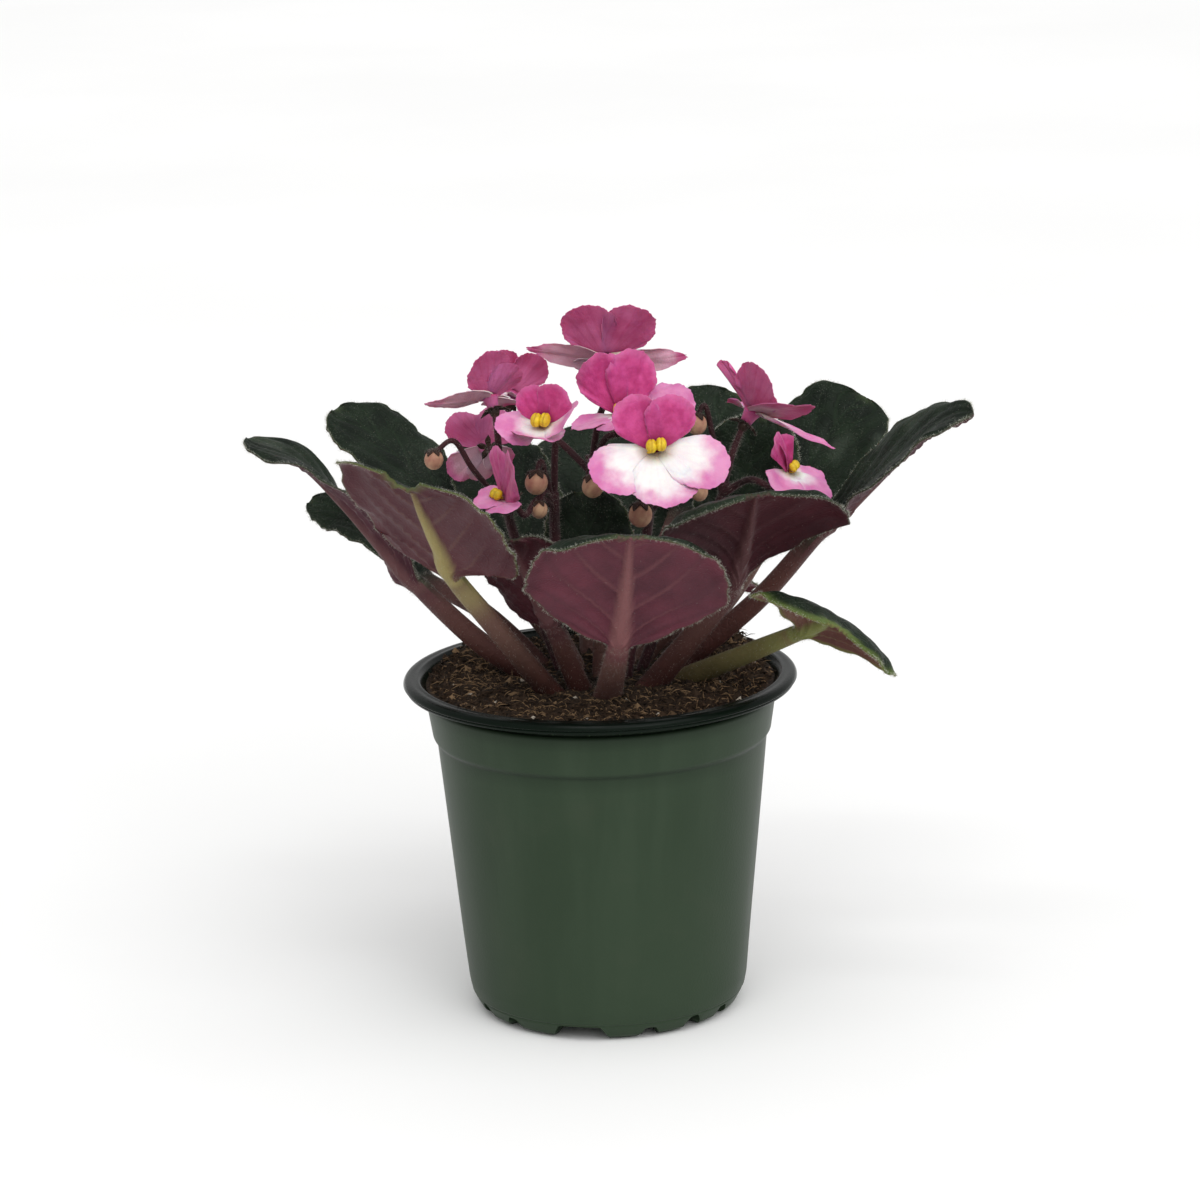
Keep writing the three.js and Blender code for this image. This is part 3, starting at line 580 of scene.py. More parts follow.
# Soil: a crumbly top with fibres and pale flecks, over a plain body that fills the pot.
soil = {
    "edge": 90.0, "crown": 1.8, "crownReach": 46, "ripple": 0.35,
    "humps": [(38, 22, 5.5, 12), (-34, 26, 3.5, 14), (-30, -18, 1.2, 12), (20, -26, 1.0, 10)],
    "reach": 48.1,
    "heaped": 2.1,    # loose peat above the solid's own level
    "turns": 240, "rows": 74,
    # lumps in the top: height, waves each way, shift; then the height of the grit on them
    "lumps": ((0.35, 1.1, 0.9, 1), (0.25, 2.3, 2.6, 2), (0.2, 4.1, 3.7, 4)), "grit": 0.28,
    "fallWidth": 3.0, "rimLevel": 92.2, "gap": 0.3,
    "body": [(47.9, 91.9), (45.9, 89.2), (44.9, 79.2), (43.6, 76.8), (36.85, 8.6), (35.4, 6.1), (0.4, 6.1)],
    "crumbs": 6000, "crumbSmallest": 0.35, "crumbUsual": 0.32, "crumbLargest": 1.7,
    "crumbGrowth": (0.55, 1.25), "crumbUneven": 0.25, "crumbFlat": 0.75, "crumbLift": 0.15,
    "flecks": 46, "fleckSize": (0.5, 1.0), "fleckTone": 2.0, "fleckColour": (0.5, 0.44, 0.36),
    "fibres": 3200, "fibreLength": (1.2, 4.2), "fibreThick": (0.06, 0.13, 0.05), "fibreTones": (0.5, 1.15),
    "fibreLift": 0.5, "fibreBend": 0.45, "fibreSlope": 0.22, "fibreStray": 0.4,
    # painted shade round the crown: its centre, reach and strength
    "crownShadeCentre": -4, "crownShadeReach": 25.0, "crownShadeStrength": 0.75,
    "tones": ((0.004, 0.0024, 0.0014), (0.041, 0.0228, 0.0117), (0.26, 0.165, 0.088)),
}


def soilHeight(x, y):
    height = soil["edge"] + soil["crown"] * (1 - (x * x + y * y) / soil["crownReach"] ** 2)
    for cx, cy, lift, spread in soil["humps"]:
        height = height + lift * np.exp(-((x - cx) ** 2 + (y - cy) ** 2) / spread ** 2)
    return height + soil["ripple"] * np.sin(x * 0.41 + 1.3) * np.cos(y * 0.37)


# Tones above one mark the straw and the pale flecks.
def makePeat():
    material, desk, into = newMaterial("peat", Specular_IOR_Level=0.25)
    dark, mid, pale = soil["tones"]
    grain = mottled(desk, (dark, mid), scale=900.0, contrast=0.25)
    tone = desk.value("tone")
    colour = desk.mix(desk.mask(tone, 0.3, 0.8), grain["Colour"], mid)
    colour = desk.mix(desk.mask(tone, 0.85, 1.0), colour, pale)
    colour = desk.mix(desk.mask(tone, 1.5, 1.9), colour, soil["fleckColour"])
    # Painted shade darkens the soil round the crown.
    colour = desk.tint(colour, dark, desk.value("damp"), soil["crownShadeStrength"])
    desk.finish(into, colour, desk.noise(scale=2600.0, detail=4.0), strength=0.6, distance=0.0003,
                roughness=desk.minus(0.98, desk.times(grain["Patches"], 0.2)))
    return material


def soilSpots(count, rng, margin):
    radius = (soil["reach"] - margin) * np.sqrt(rng.random(count))
    angle = rng.random(count) * fullTurn
    x, y = radius * np.cos(angle), radius * np.sin(angle)
    return np.stack([x, y, soilHeight(x, y) + soil["heaped"]], -1)


# Painted shade: the soil is darkened around the crown of the plant, where the leaves shade it.
def crownShadeAt(points):
    x, y = points.reshape(-1, 3)[:, 0], points.reshape(-1, 3)[:, 1]
    return np.exp(-(x ** 2 + (y - soil["crownShadeCentre"]) ** 2) / soil["crownShadeReach"] ** 2)


def makeSoil():
    rng = np.random.default_rng(11)
    shape = Shape("tone", "damp")
    angle = np.arange(soil["turns"]) * fullTurn / soil["turns"]
    reach = soil["reach"] - soil["gap"]
    radius = np.linspace(0.4, reach, soil["rows"])[:, None]
    x, y = radius * np.sin(angle), radius * np.cos(angle)
    rough = sum(height * np.sin(x * alongX + shift) * np.sin(y * alongY + 2 * shift)
                for height, alongX, alongY, shift in soil["lumps"])
    rough = rough + soil["grit"] * rng.normal(size=x.shape)
    inner = ease(reach - radius, 0, soil["fallWidth"])
    full = soilHeight(x, y) + soil["heaped"]
    crust = np.stack([x, y, full * inner + soil["rimLevel"] * (1 - inner) + rough * inner], -1)
    rings = np.concatenate([crust, turnedRings(soil["body"], soil["turns"])])
    shape.addRings(rings, tone=rng.random(rings.shape[0] * rings.shape[1]) * 0.75, damp=crownShadeAt(rings))
    addCrumbs(shape, rng)
    addFibres(shape, rng)
    return shape.toObject("pottingSoil", [makePeat()], "soil")


# Crumbs are uneven eight-sided grains. The first few are pale flecks.
def addCrumbs(shape, rng):
    corners = np.array([(0, 0, 1), (0, 0, -1), (1, 0, 0), (-1, 0, 0), (0, 1, 0), (0, -1, 0)], float)
    sides = np.array([(0, 2, 4), (0, 4, 3), (0, 3, 5), (0, 5, 2), (1, 4, 2), (1, 3, 4), (1, 5, 3), (1, 2, 5)])
    flecks, count = soil["flecks"], soil["crumbs"] + soil["flecks"]
    spots = soilSpots(count, rng, margin=1.2)
    size = soil["crumbSmallest"] + rng.exponential(soil["crumbUsual"], count)
    size = np.minimum(size, soil["crumbLargest"])
    size[:flecks] = rng.uniform(*soil["fleckSize"], flecks)
    grow = rng.uniform(*soil["crumbGrowth"], (count, 6, 1)) * np.array([1, 1, soil["crumbFlat"]])
    uneven = rng.normal(scale=soil["crumbUneven"], size=(count, 6, 3))
    grains = spots[:, None] + size[:, None, None] * (corners * grow + uneven)
    grains = grains + np.array([0, 0, soil["crumbLift"]])
    tone = rng.random(count) ** 1.4
    tone[:flecks] = soil["fleckTone"]
    first = (np.arange(count) * 6)[:, None, None]
    shape.add(grains, [(first + sides).reshape(-1, 3)], smooth=False, tone=np.repeat(tone, 6),
              damp=crownShadeAt(grains))


# Fibres are thin three-sided threads in two lengths, bent up in the middle.
def addFibres(shape, rng):
    count = soil["fibres"]
    start = soilSpots(count, rng, margin=3.0) + np.array([0, 0, soil["fibreLift"]])
    heading = rng.random(count) * fullTurn
    slope = rng.normal(scale=soil["fibreSlope"], size=count)
    flat = np.stack([np.cos(heading), np.sin(heading), slope], -1)
    length = rng.uniform(*soil["fibreLength"], count)[:, None]
    middle = start + flat * length / 2 + np.array([0, 0, soil["fibreBend"]])
    stray = rng.normal(scale=soil["fibreStray"], size=(count, 3)) * np.array([1, 1, 0.4])
    end = start + flat * length + stray
    side = unit(np.cross(flat, np.array([0, 0, 1.0])))
    lift = np.cross(side, flat)
    points = np.stack([centre + thick * (math.cos(a) * side + math.sin(a) * lift)
                       for centre, thick in zip((start, middle, end), soil["fibreThick"])
                       for a in (1.57, 3.67, 5.76)], 1)
    sides = np.array([(k, (k + 1) % 3, (k + 1) % 3 + 3, k + 3) for k in range(3)])
    sides = np.concatenate([sides, sides + 3])
    ends = np.array([(2, 1, 0), (6, 7, 8)])
    first = (np.arange(count) * 9)[:, None, None]
    shape.add(points, [(first + sides).reshape(-1, 4), (first + ends).reshape(-1, 3)],
              tone=np.repeat(rng.uniform(*soil["fibreTones"], count), 9), damp=crownShadeAt(points))


makeSoil()

# Leaves: for each, where its stalk leaves the soil, points of the stalk and of the midrib, its right side as
# seen from above, its half width, the radius of its stalk below and above, and what is different about it.
leafPlaces = {
    "leaf_front": {
        "root": (1.6, -22), "stalk": [(3.5, -31, 102.2), (5, -38, 110.7)],
        "blade": [(6.5, -45, 122.6), (7.8, -53, 134.5), (8.7, -61.5, 145.4), (9, -69.5, 150)],
        "across": (-1, 0, 0.06), "halfWidth": 26.5, "radius": (4.2, 3.0), "widest": 0.42,
        "fill": (1.22, 2.1), "cup": -0.25, "roll": 1.8},
    "leaf_left_front": {
        "root": (-13, -17), "stalk": [(-25, -27, 111), (-37.9, -34, 130.1)],
        "blade": [(-40.6, -40, 139.2), (-44, -47.5, 149.2), (-46.8, -55, 158.5), (-48.6, -62.5, 164)],
        "across": (-0.85, 0.52, 0.145), "halfWidth": 23.2, "radius": (4.0, 2.8),
        "fill": (2.8, 2.8), "cup": 0.15, "roll": 2.0, "tipShift": (3.5, -2.5, 2.5), "finish": "tan"},
    "leaf_right_front": {
        "root": (13, -14), "stalk": [(23.9, -21, 107.3), (35.3, -27, 122.9)],
        "blade": [(37.9, -34, 132.8), (39.9, -42, 143.1), (41.3, -50.5, 152.8), (41.9, -58, 158)],
        "across": (-1, -0.15, -0.05), "halfWidth": 25, "radius": (4.2, 2.9), "widest": 0.62,
        "fill": (0.8, 2), "cup": -0.3, "roll": 2.2, "finish": "dark"},
    "leaf_left": {
        "root": (-17, 0), "stalk": [(-32.4, 1, 102.8), (-48.2, 6, 117.4)],
        "blade": [(-57.8, 13, 127.6), (-69, 20, 139.2), (-81.5, 28, 149.3), (-95.8, 36, 155.2)],
        "across": (-0.5, 1, -0.55), "acrossTip": (-0.5, 1, 0.29), "halfWidth": 14.5, "radius": (4.2, 3.0),
        "widest": 0.45, "cup": 0.1, "finish": "plum"},
    "leaf_left_low": {
        "root": (-15, 11), "stalk": [(-30.3, 22, 105), (-47, 34, 112.4)],
        "blade": [(-55, 42, 118), (-63.8, 49, 124.4), (-72.7, 55, 129), (-81.6, 60, 131)],
        "across": (-0.5, 0.9, 0.55), "halfWidth": 8, "radius": (3.4, 2.4), "cup": 0.1, "finish": "dark"},
    "leaf_left_back": {
        "root": (-7, 15), "stalk": [(-21.8, 28, 109.3), (-38.7, 40, 128)],
        "blade": [(-47.6, 47, 137.4), (-56.8, 53, 145.8), (-65.7, 58, 152.8), (-73, 62, 157.2)],
        "across": (0.5, 1, 0.35), "halfWidth": 13.3, "radius": (3.6, 2.5), "cup": 0.2},
    "leaf_left_inner": {
        "root": (-5, -15), "stalk": [(-9, -20, 104), (-12, -24, 113)],
        "blade": [(-15, -26, 120), (-18, -29, 127.5), (-20.5, -32, 135.5), (-22, -35, 141)],
        "across": (-1, 0.3, 0.1), "halfWidth": 13.5, "radius": (3.6, 2.6), "cup": 0.5, "finish": "dark"},
    "leaf_right": {
        "root": (19, 2), "stalk": [(43.4, -4, 114), (59, -12, 133.5)],
        "blade": [(68.9, -17, 144.6), (79.7, -22, 156), (90.4, -27, 165.6), (99.6, -32, 170.6)],
        "across": (0, -1, -0.05), "halfWidth": 15, "radius": (4.0, 2.8), "widest": 0.45,
        "fill": (1.15, 1.8), "cup": 0.45, "finish": "plum"},
    "leaf_right_low": {
        "root": (20, -7), "stalk": [(38.5, -17, 102), (52.6, -27, 110.3)],
        "blade": [(58.5, -34, 114.8), (61.5, -41.5, 118.6), (62.7, -49, 120.4), (63, -57, 120.4)],
        "across": (-0.83, -0.1, 0.555), "halfWidth": 22.5, "radius": (3.8, 2.4),
        "fill": (1.05, 2.2), "cup": -0.45, "marginWidth": 1.2, "finish": "green"},
    "leaf_right_back": {
        "root": (19, 13), "stalk": [(36.8, 24, 108.6), (48.1, 34, 123.1)],
        "blade": [(54.7, 40, 133), (62.4, 45, 143.4), (70, 50, 152.6), (76.4, 54, 158.4)],
        "across": (0.62, -0.75, -0.4), "halfWidth": 16.5, "radius": (3.8, 2.6), "widest": 0.55,
        "fill": (1.8, 2.8), "cup": 0.2},
    "leaf_right_inner": {
        "root": (9, 8), "stalk": [(25.4, 10, 111), (35, 14.5, 126)],
        "blade": [(38.7, 17, 134), (42, 20, 143), (44.7, 22.8, 151.5), (46.5, 25, 159)],
        "across": (0.9, -0.5, -0.15), "halfWidth": 15, "radius": (3.2, 2.3), "cup": 0.3},
    "leaf_back_right": {
        "root": (5, 18), "stalk": [(14.5, 31, 109), (22.5, 42, 127)],
        "blade": [(28, 49, 136.5), (33, 55, 145), (37, 60.5, 152.5), (40.5, 65, 158)],
        "across": (0.95, -0.3, -0.15), "halfWidth": 17, "radius": (3.6, 2.5), "cup": 0.3},
    "leaf_back": {
        "root": (-2, 22), "stalk": [(-2.5, 33, 105), (-1, 41, 115)],
        "blade": [(0, 48, 124), (1.5, 54.5, 133), (3, 60.5, 141.5), (4, 66, 149)],
        "across": (1, 0.05, 0.05), "halfWidth": 21.5, "radius": (3.8, 2.6),
        "fill": (2.8, 2.2), "cup": 0.2},
    "leaf_back_left": {
        "root": (-6, 5), "stalk": [(-15, 20, 109), (-19, 30, 119)],
        "blade": [(-22, 37, 128), (-25, 44, 136), (-28, 50.5, 143), (-30, 57, 148.5)],
        "across": (1, 0.4, 0.3), "halfWidth": 14, "radius": (3.0, 2.2), "fill": (2.6, 2.2), "cup": 0.3},
    "leaf_back_low": {
        "root": (12.5, 21), "stalk": [(26, 36, 100.5), (31, 47, 103)],
        "blade": [(33, 53, 104), (34.5, 59, 104), (35.5, 64, 103), (36, 68, 101)],
        "across": (0.85, -0.55, -0.05), "halfWidth": 11, "radius": (3.4, 2.4), "cup": 0.15},
    "leaf_centre": {
        "root": (0, -4), "stalk": [(0.5, -4, 108), (0, -3, 118)],
        "blade": [(-1, -2, 124), (-2, 0, 131), (-3, 2, 138), (-4, 4, 144)],
        "across": (1, 0.1, 0), "halfWidth": 12, "radius": (2.4, 1.8), "cup": 0.5},
}
# What a leaf has unless its own list says otherwise. The tip shift moves the left, middle and right of the
# tip along the blade.
leafUsual = {
    "widest": 0.5, "fill": (1.8, 2.2), "roll": 1.0, "marginWidth": 0.3, "tipShift": (0, 0, 0),
    "acrossTip": None, "finish": "mauve",
}
leafForm = {
    "thickness": 0.9, "columns": 20, "stalkRows": 26, "bladeRows": 70, "joinLength": 0.1, "rootDepth": 6.0,
    "quiltHeight": 0.6, "veinRidge": 0.5, "veinRidgeWidth": 0.2,
    "wave": 0.5, "waveTurns": 17, "ripple": 0.35, "rippleTurns": 31,
    "scallop": 0.22, "scallopTurns": (60, 97),
    "limeWidth": 1.5, "limePlace": 0.15, "limeSpread": 0.35, "limeFrom": (0.8, 0.95),
    "grooveDepth": 0.5, "grooveWidth": 1.6, "ribHeight": 0.8, "ribShoulder": 0.25,
    "rollTip": (0.8, 1.0), "rollSide": (0.78, 1.0), "rollFrom": (0.3, 0.6), "shiftFrom": (0.45, 0.95),
    "flare": 0.18, "flarePlace": 0.3,    # the stalk is a little thicker where it leaves the soil
    # for each part its share of the hairs, their length, width, lean and tone
    "hairs": 2500, "hairWidth": 0.032, "widestHalf": 26,
    "stalkHairs": (0.36, (0.4, 1.1), 0.7, 0.35, 0.0),
    "marginHairs": (0.5, (0.4, 1.1), 1.0, 0.35, 0.5),
    "faceHairs": (0.14, (0.3, 0.6), 0.8, 0.5, 0.2),
    "top": ((0.0018, 0.0054, 0.0020), (0.0068, 0.0152, 0.0060)),
    # the veins on the upper face, the painted sheen on it and its down
    "topVein": (0.014, 0.028, 0.012), "paintedSheen": (0.044, 0.058, 0.041), "down": (0.085, 0.103, 0.075),
}
# Tones of each kind: the margin, the underside, the rib and the veins on it, and the stalk from the soil up.
leafKinds = {
    "mauve": {
        "margin": (0.065, 0.09, 0.04), "under": ((0.064, 0.021, 0.029), (0.140, 0.035, 0.053)),
        "rib": (0.182, 0.074, 0.076), "vein": (0.16, 0.058, 0.066),
        "low": ((0.050, 0.022, 0.018), (0.088, 0.042, 0.035)), "mid": (0.115, 0.058, 0.049),
        "high": (0.135, 0.063, 0.058)},
    "tan": {
        "margin": (0.12, 0.16, 0.05), "under": ((0.064, 0.020, 0.026), (0.092, 0.032, 0.038)),
        "rib": (0.27, 0.22, 0.09), "vein": (0.12, 0.058, 0.048),
        "low": ((0.016, 0.0045, 0.0035), (0.042, 0.012, 0.009)), "mid": (0.112, 0.059, 0.046),
        "high": (0.25, 0.21, 0.09)},
    "plum": {
        "margin": (0.045, 0.062, 0.035), "under": ((0.046, 0.012, 0.019), (0.094, 0.023, 0.036)),
        "rib": (0.10, 0.042, 0.044), "vein": (0.10, 0.04, 0.042),
        "low": ((0.028, 0.010, 0.009), (0.055, 0.018, 0.015)), "mid": (0.085, 0.034, 0.028),
        "high": (0.085, 0.036, 0.034)},
    # Painted shade: the mauve tones at about half their brightness, for leaves turned from the light or deep
    # in the plant.
    "dark": {
        "margin": (0.045, 0.062, 0.035), "under": ((0.030, 0.007, 0.010), (0.060, 0.0135, 0.019)),
        "rib": (0.085, 0.035, 0.037), "vein": (0.075, 0.026, 0.03),
        "low": ((0.022, 0.008, 0.007), (0.055, 0.018, 0.015)), "mid": (0.07, 0.03, 0.025),
        "high": (0.08, 0.034, 0.033)},
    "green": {
        "margin": (0.15, 0.21, 0.05), "under": ((0.10, 0.040, 0.034), (0.15, 0.075, 0.052)),
        "rib": (0.16, 0.17, 0.055), "vein": (0.16, 0.12, 0.06),
        "low": ((0.05, 0.035, 0.016), (0.09, 0.07, 0.03)), "mid": (0.12, 0.105, 0.04),
        "high": (0.15, 0.155, 0.05)},
}


# On a leaf, along runs from -1 at the soil over 0 at the base of the blade to 1 at the tip.
def makeLeafFinish(kind, tones):
    material, desk, into = newMaterial(
        f"leafSkin_{kind}", Specular_IOR_Level=0.15, Sheen_Weight=0.015, Sheen_Roughness=0.4,
        Subsurface_Weight=0.04, Subsurface_Scale=0.002)
    along, across, under = desk.value("along"), desk.value("across"), desk.value("under")
    veins = desk.group(branchingVeins, Along=along, Across=across, Pairs=vein["pairs"],
                       Sweep=vein["sweep"], Width=vein["width"])
    down = desk.group(fineDown, Scale=1500.0, Size=0.42)
    # Painted sheen: soft lighter patches on the upper face stand in for its satin highlights.
    paintedSheen = desk.mask(desk.noise(scale=62.0, detail=6.0, stretch=(1.0, 1.0, 0.5)), 0.52, 0.7)
    upper = mottled(desk, leafForm["top"], scale=110.0)["Colour"]
    upper = desk.tint(upper, leafForm["topVein"], veins["Vein"], 0.4)
    upper = desk.tint(upper, leafForm["paintedSheen"], paintedSheen, 0.5)
    upper = desk.tint(upper, leafForm["down"], down["Dots"], 0.55)
    # Painted shade: the underside is darker next to the side veins.
    shade = desk.plus(0.55, desk.times(desk.mask(veins["Quilt"], 0.0, 0.5), 0.45))
    lower = desk.mix(shade, tones["under"][0], mottled(desk, tones["under"], scale=42.0)["Colour"])
    lower = desk.tint(lower, tones["vein"], veins["Vein"], 0.5)
    blade = desk.mix(under, upper, lower)
    blade = desk.tint(blade, tones["margin"], desk.value("margin"), 0.55)
    blade = desk.mix(desk.value("rib"), blade, desk.mix(desk.mask(along, 0.35, 1.25), tones["rib"], lower))
    stalk = mottled(desk, tones["low"], scale=120.0, contrast=0.3)["Colour"]
    stalk = desk.mix(desk.mask(along, -0.68, -0.15), stalk, tones["mid"])
    stalk = desk.mix(desk.mask(along, -0.24, -0.04), stalk, tones["high"])
    net = desk.below(desk.cells(420.0, "DISTANCE_TO_EDGE"), 0.0, 0.12)
    relief = desk.times(net, desk.minus(desk.times(under, 0.9), 0.6))
    relief = desk.plus(relief, desk.times(down["Height"], 0.35))
    relief = desk.plus(relief, desk.times(desk.noise(scale=290.0), 1.6))
    desk.finish(into, desk.mix(desk.below(along, -0.15, 0.08), blade, stalk), relief, strength=0.5,
                distance=0.00035, roughness=desk.plus(0.44, desk.times(desk.noise(scale=240.0), 0.22)))
    return material


# How far a place on the blade is from the nearest side vein, from 0 on it to 1 halfway to the next.
def fromSideVein(u, v):
    phase = (u - vein["sweep"] * np.abs(v) ** vein["bend"]) * vein["pairs"]
    phase = (phase + np.where(v > 0, vein["stagger"], 0.0)) % 1.0
    return 1 - 2 * np.abs(phase - 0.5)


def bladeOutline(u, widest, fill):
    x = np.where(u < widest, (widest - u) / widest, (u - widest) / (1 - widest))
    power = np.where(u < widest, fill[0], fill[1])
    return np.maximum(0, 1 - x ** power) ** (1 / power)


def bladeWidth(leaf, u, v, seed):
    width = leaf["halfWidth"] * bladeOutline(u, leaf["widest"], leaf["fill"]) + 0.5
    first, second = leafForm["scallopTurns"]
    scallop = leafForm["scallop"] * (np.sin(u * first + seed) + 0.6 * np.sin(u * second + 2 * seed))
    return width + scallop * np.abs(v) ** 6 * ease(width, 0, 6)


# How far the tip and the sides roll back.
def bladeRoll(leaf, u, v):
    tipShare = ease(u, *leafForm["rollTip"]) * (1 - 0.4 * v ** 2)
    sideShare = ease(np.abs(v), *leafForm["rollSide"]) * ease(u, *leafForm["rollFrom"])
    return leaf["roll"] * np.maximum(tipShare, sideShare) ** 1.3


# The middle surface of a blade and its normals at places along (u) and across (v) it.
def bladeMiddle(leaf, frames, u, v, width, quilt, seed):
    centre, along, side, up = (f[:, None] for f in frames)
    cup = leaf["cup"]
    bend = cup * v
    reach, rise = width * np.sin(bend) / cup, width * (1 - np.cos(bend)) / cup
    wave = leafForm["wave"] * np.sin(u * leafForm["waveTurns"] + v * 2) * v ** 2
    ripple = leafForm["ripple"] * np.sin(u * leafForm["rippleTurns"] + seed + v * 3) * np.abs(v) ** 3
    rise = rise + wave + ripple + quilt - bladeRoll(leaf, u, v)
    atLeft, atMiddle, atRight = leaf["tipShift"]
    shift = atMiddle * (1 - v ** 2) + np.where(v < 0, atLeft, atRight) * v ** 2
    shift = shift * ease(u, *leafForm["shiftFrom"])
    middle = centre + side * reach[..., None] + up * rise[..., None] + along * shift[..., None]
    return middle, unit(up * np.cos(bend)[..., None] - side * np.sin(bend)[..., None])


# Upper and lower faces of a blade, where the rib lies on the lower one, and the paler margin.
def bladeSheet(leaf, frames, u, v, seed):
    u, v = u[:, None], v[None, :]
    width = bladeWidth(leaf, u, v, seed)
    off = np.abs(v)
    veinDistance = fromSideVein(u, v)
    settle = ease(off, 0, 0.25) * (1 - off ** 4) * ease(width, 0, 8)
    quilt = leafForm["quiltHeight"] * (np.sin(veinDistance * math.pi / 2) - 0.6) * settle
    middle, normal = bladeMiddle(leaf, frames, u, v, width, quilt, seed)
    ribSize = leaf["radius"][1] * leafForm["ribHeight"] * np.maximum(1 - u, 0) ** 0.8
    offRib = np.abs(v * width) / (leaf["radius"][1] * np.maximum(1 - u, 0) ** 1.3 + 0.4)
    rib = ribSize * (np.sqrt(np.maximum(0, 1 - offRib ** 2)) + leafForm["ribShoulder"] * bell(offRib, 1))
    veinRidge = leafForm["veinRidge"] * bell(veinDistance, leafForm["veinRidgeWidth"]) * settle
    groove = leafForm["grooveDepth"] * bell(v * width, leafForm["grooveWidth"]) * (1 - u) ** 0.7
    half = leafForm["thickness"] / 2 * (1 - 0.45 * off ** 8)
    upper = middle + normal * (half - groove)[..., None]
    lower = middle - normal * (half + rib + veinRidge)[..., None]
    fromMargin = np.minimum((1 - off) * width, (1 - u) * 40)
    lime = (bell(fromMargin, leafForm["limeWidth"]) * ease(u, *leafForm["limeFrom"])
            * bell(v - leafForm["limePlace"], leafForm["limeSpread"]))
    margin = np.maximum(bell(fromMargin, leaf["marginWidth"]), lime)
    return upper, lower, np.exp(-offRib ** 8), margin


def makeLeaf(name, leaf, materials, seed):
    rng = np.random.default_rng(100 + seed)
    ground = soilHeight(*leaf["root"])
    points = [(*leaf["root"], ground - leafForm["rootDepth"]), (*leaf["root"], ground),
              *leaf["stalk"], *leaf["blade"]]
    joint = (1 + len(leaf["stalk"])) / (len(points) - 1)
    share = np.linspace(-1, 1, 2 * leafForm["columns"] + 1)
    v = share - 0.11 * np.sin(fullTurn * share)        # closer columns at the midrib and the margins
    stalkT = np.linspace(0, joint, leafForm["stalkRows"], endpoint=False)
    s = np.linspace(0, 1, leafForm["bladeRows"])
    u = 0.997 * (s - 0.09 * np.sin(fullTurn * s))      # closer rows at the base and the tip
    u[0] = 0.0
    t = np.concatenate([stalkT, joint + u * (1 - joint)])
    frames = curveFrames(points, t, leaf["across"], leaf["acrossTip"])
    count = 2 * len(v)
    rootRadius, jointRadius = leaf["radius"]
    radius = rootRadius + (jointRadius - rootRadius) * np.minimum(t / joint, 1)
    flare = 1 + leafForm["flare"] * bell(t / joint - leafForm["flarePlace"], 0.1)
    rings = roundRing(frames[0], frames[2], frames[3], radius * flare, count)
    upper, lower, ribMask, margin = bladeSheet(leaf, [f[len(stalkT):] for f in frames], u, v, seed)
    join = ease(u, 0, leafForm["joinLength"])[:, None, None]
    rings[len(stalkT):] = rings[len(stalkT):] * (1 - join) + bothSides(upper, lower) * join
    zero = np.zeros((len(stalkT), count))
    rib = np.concatenate([zero, bothSides(0 * ribMask, ribMask)])
    edge = np.concatenate([zero, bothSides(margin, margin)])
    along = np.concatenate([stalkT / joint - 1, u])
    shape = Shape("along", "across", "under", "rib", "margin", "hairTone")
    shape.addRings(rings, along=np.repeat(along, count), across=np.tile(np.append(v, v[::-1]), len(t)),
                   under=np.tile(np.repeat([0.0, 1.0], len(v)), len(t)), rib=rib.ravel(),
                   margin=edge.ravel())
    addLeafHairs(shape, rings, len(stalkT), len(v), leaf, rng)
    return shape.toObject(f"{name}_skin", materials, name)


# Hairs stand thick on the stalk and the margin and thinner on both faces.
def addLeafHairs(shape, rings, stalkRows, columns, leaf, rng):
    total = int(leafForm["hairs"] * (0.55 + 0.45 * leaf["halfWidth"] / leafForm["widestHalf"]))
    last = len(rings) - 1.01
    margins = [0.2, columns - 1.2, columns + 0.2, 2 * columns - 1.2]
    for part, rowSpan, beside in (("stalkHairs", (stalkRows * 0.36, stalkRows + 8), None),
                                  ("marginHairs", (stalkRows + 4, last), margins),
                                  ("faceHairs", (stalkRows + 6, last), None)):
        share, lengthSpan, width, lean, tone = leafForm[part]
        addHairs(shape, rings, rowSpan, lengthSpan, int(total * share), leafForm["hairWidth"] * width, rng, 1,
                 lean, tone, beside)


leafSkins = {kind: makeLeafFinish(kind, tones) for kind, tones in leafKinds.items()}
for number, (leafName, leafPlace) in enumerate(leafPlaces.items()):
    leaf = {**leafUsual, **leafPlace}
    makeLeaf(leafName, leaf, [leafSkins[leaf["finish"]], paleHair], number)
print("leaves done")

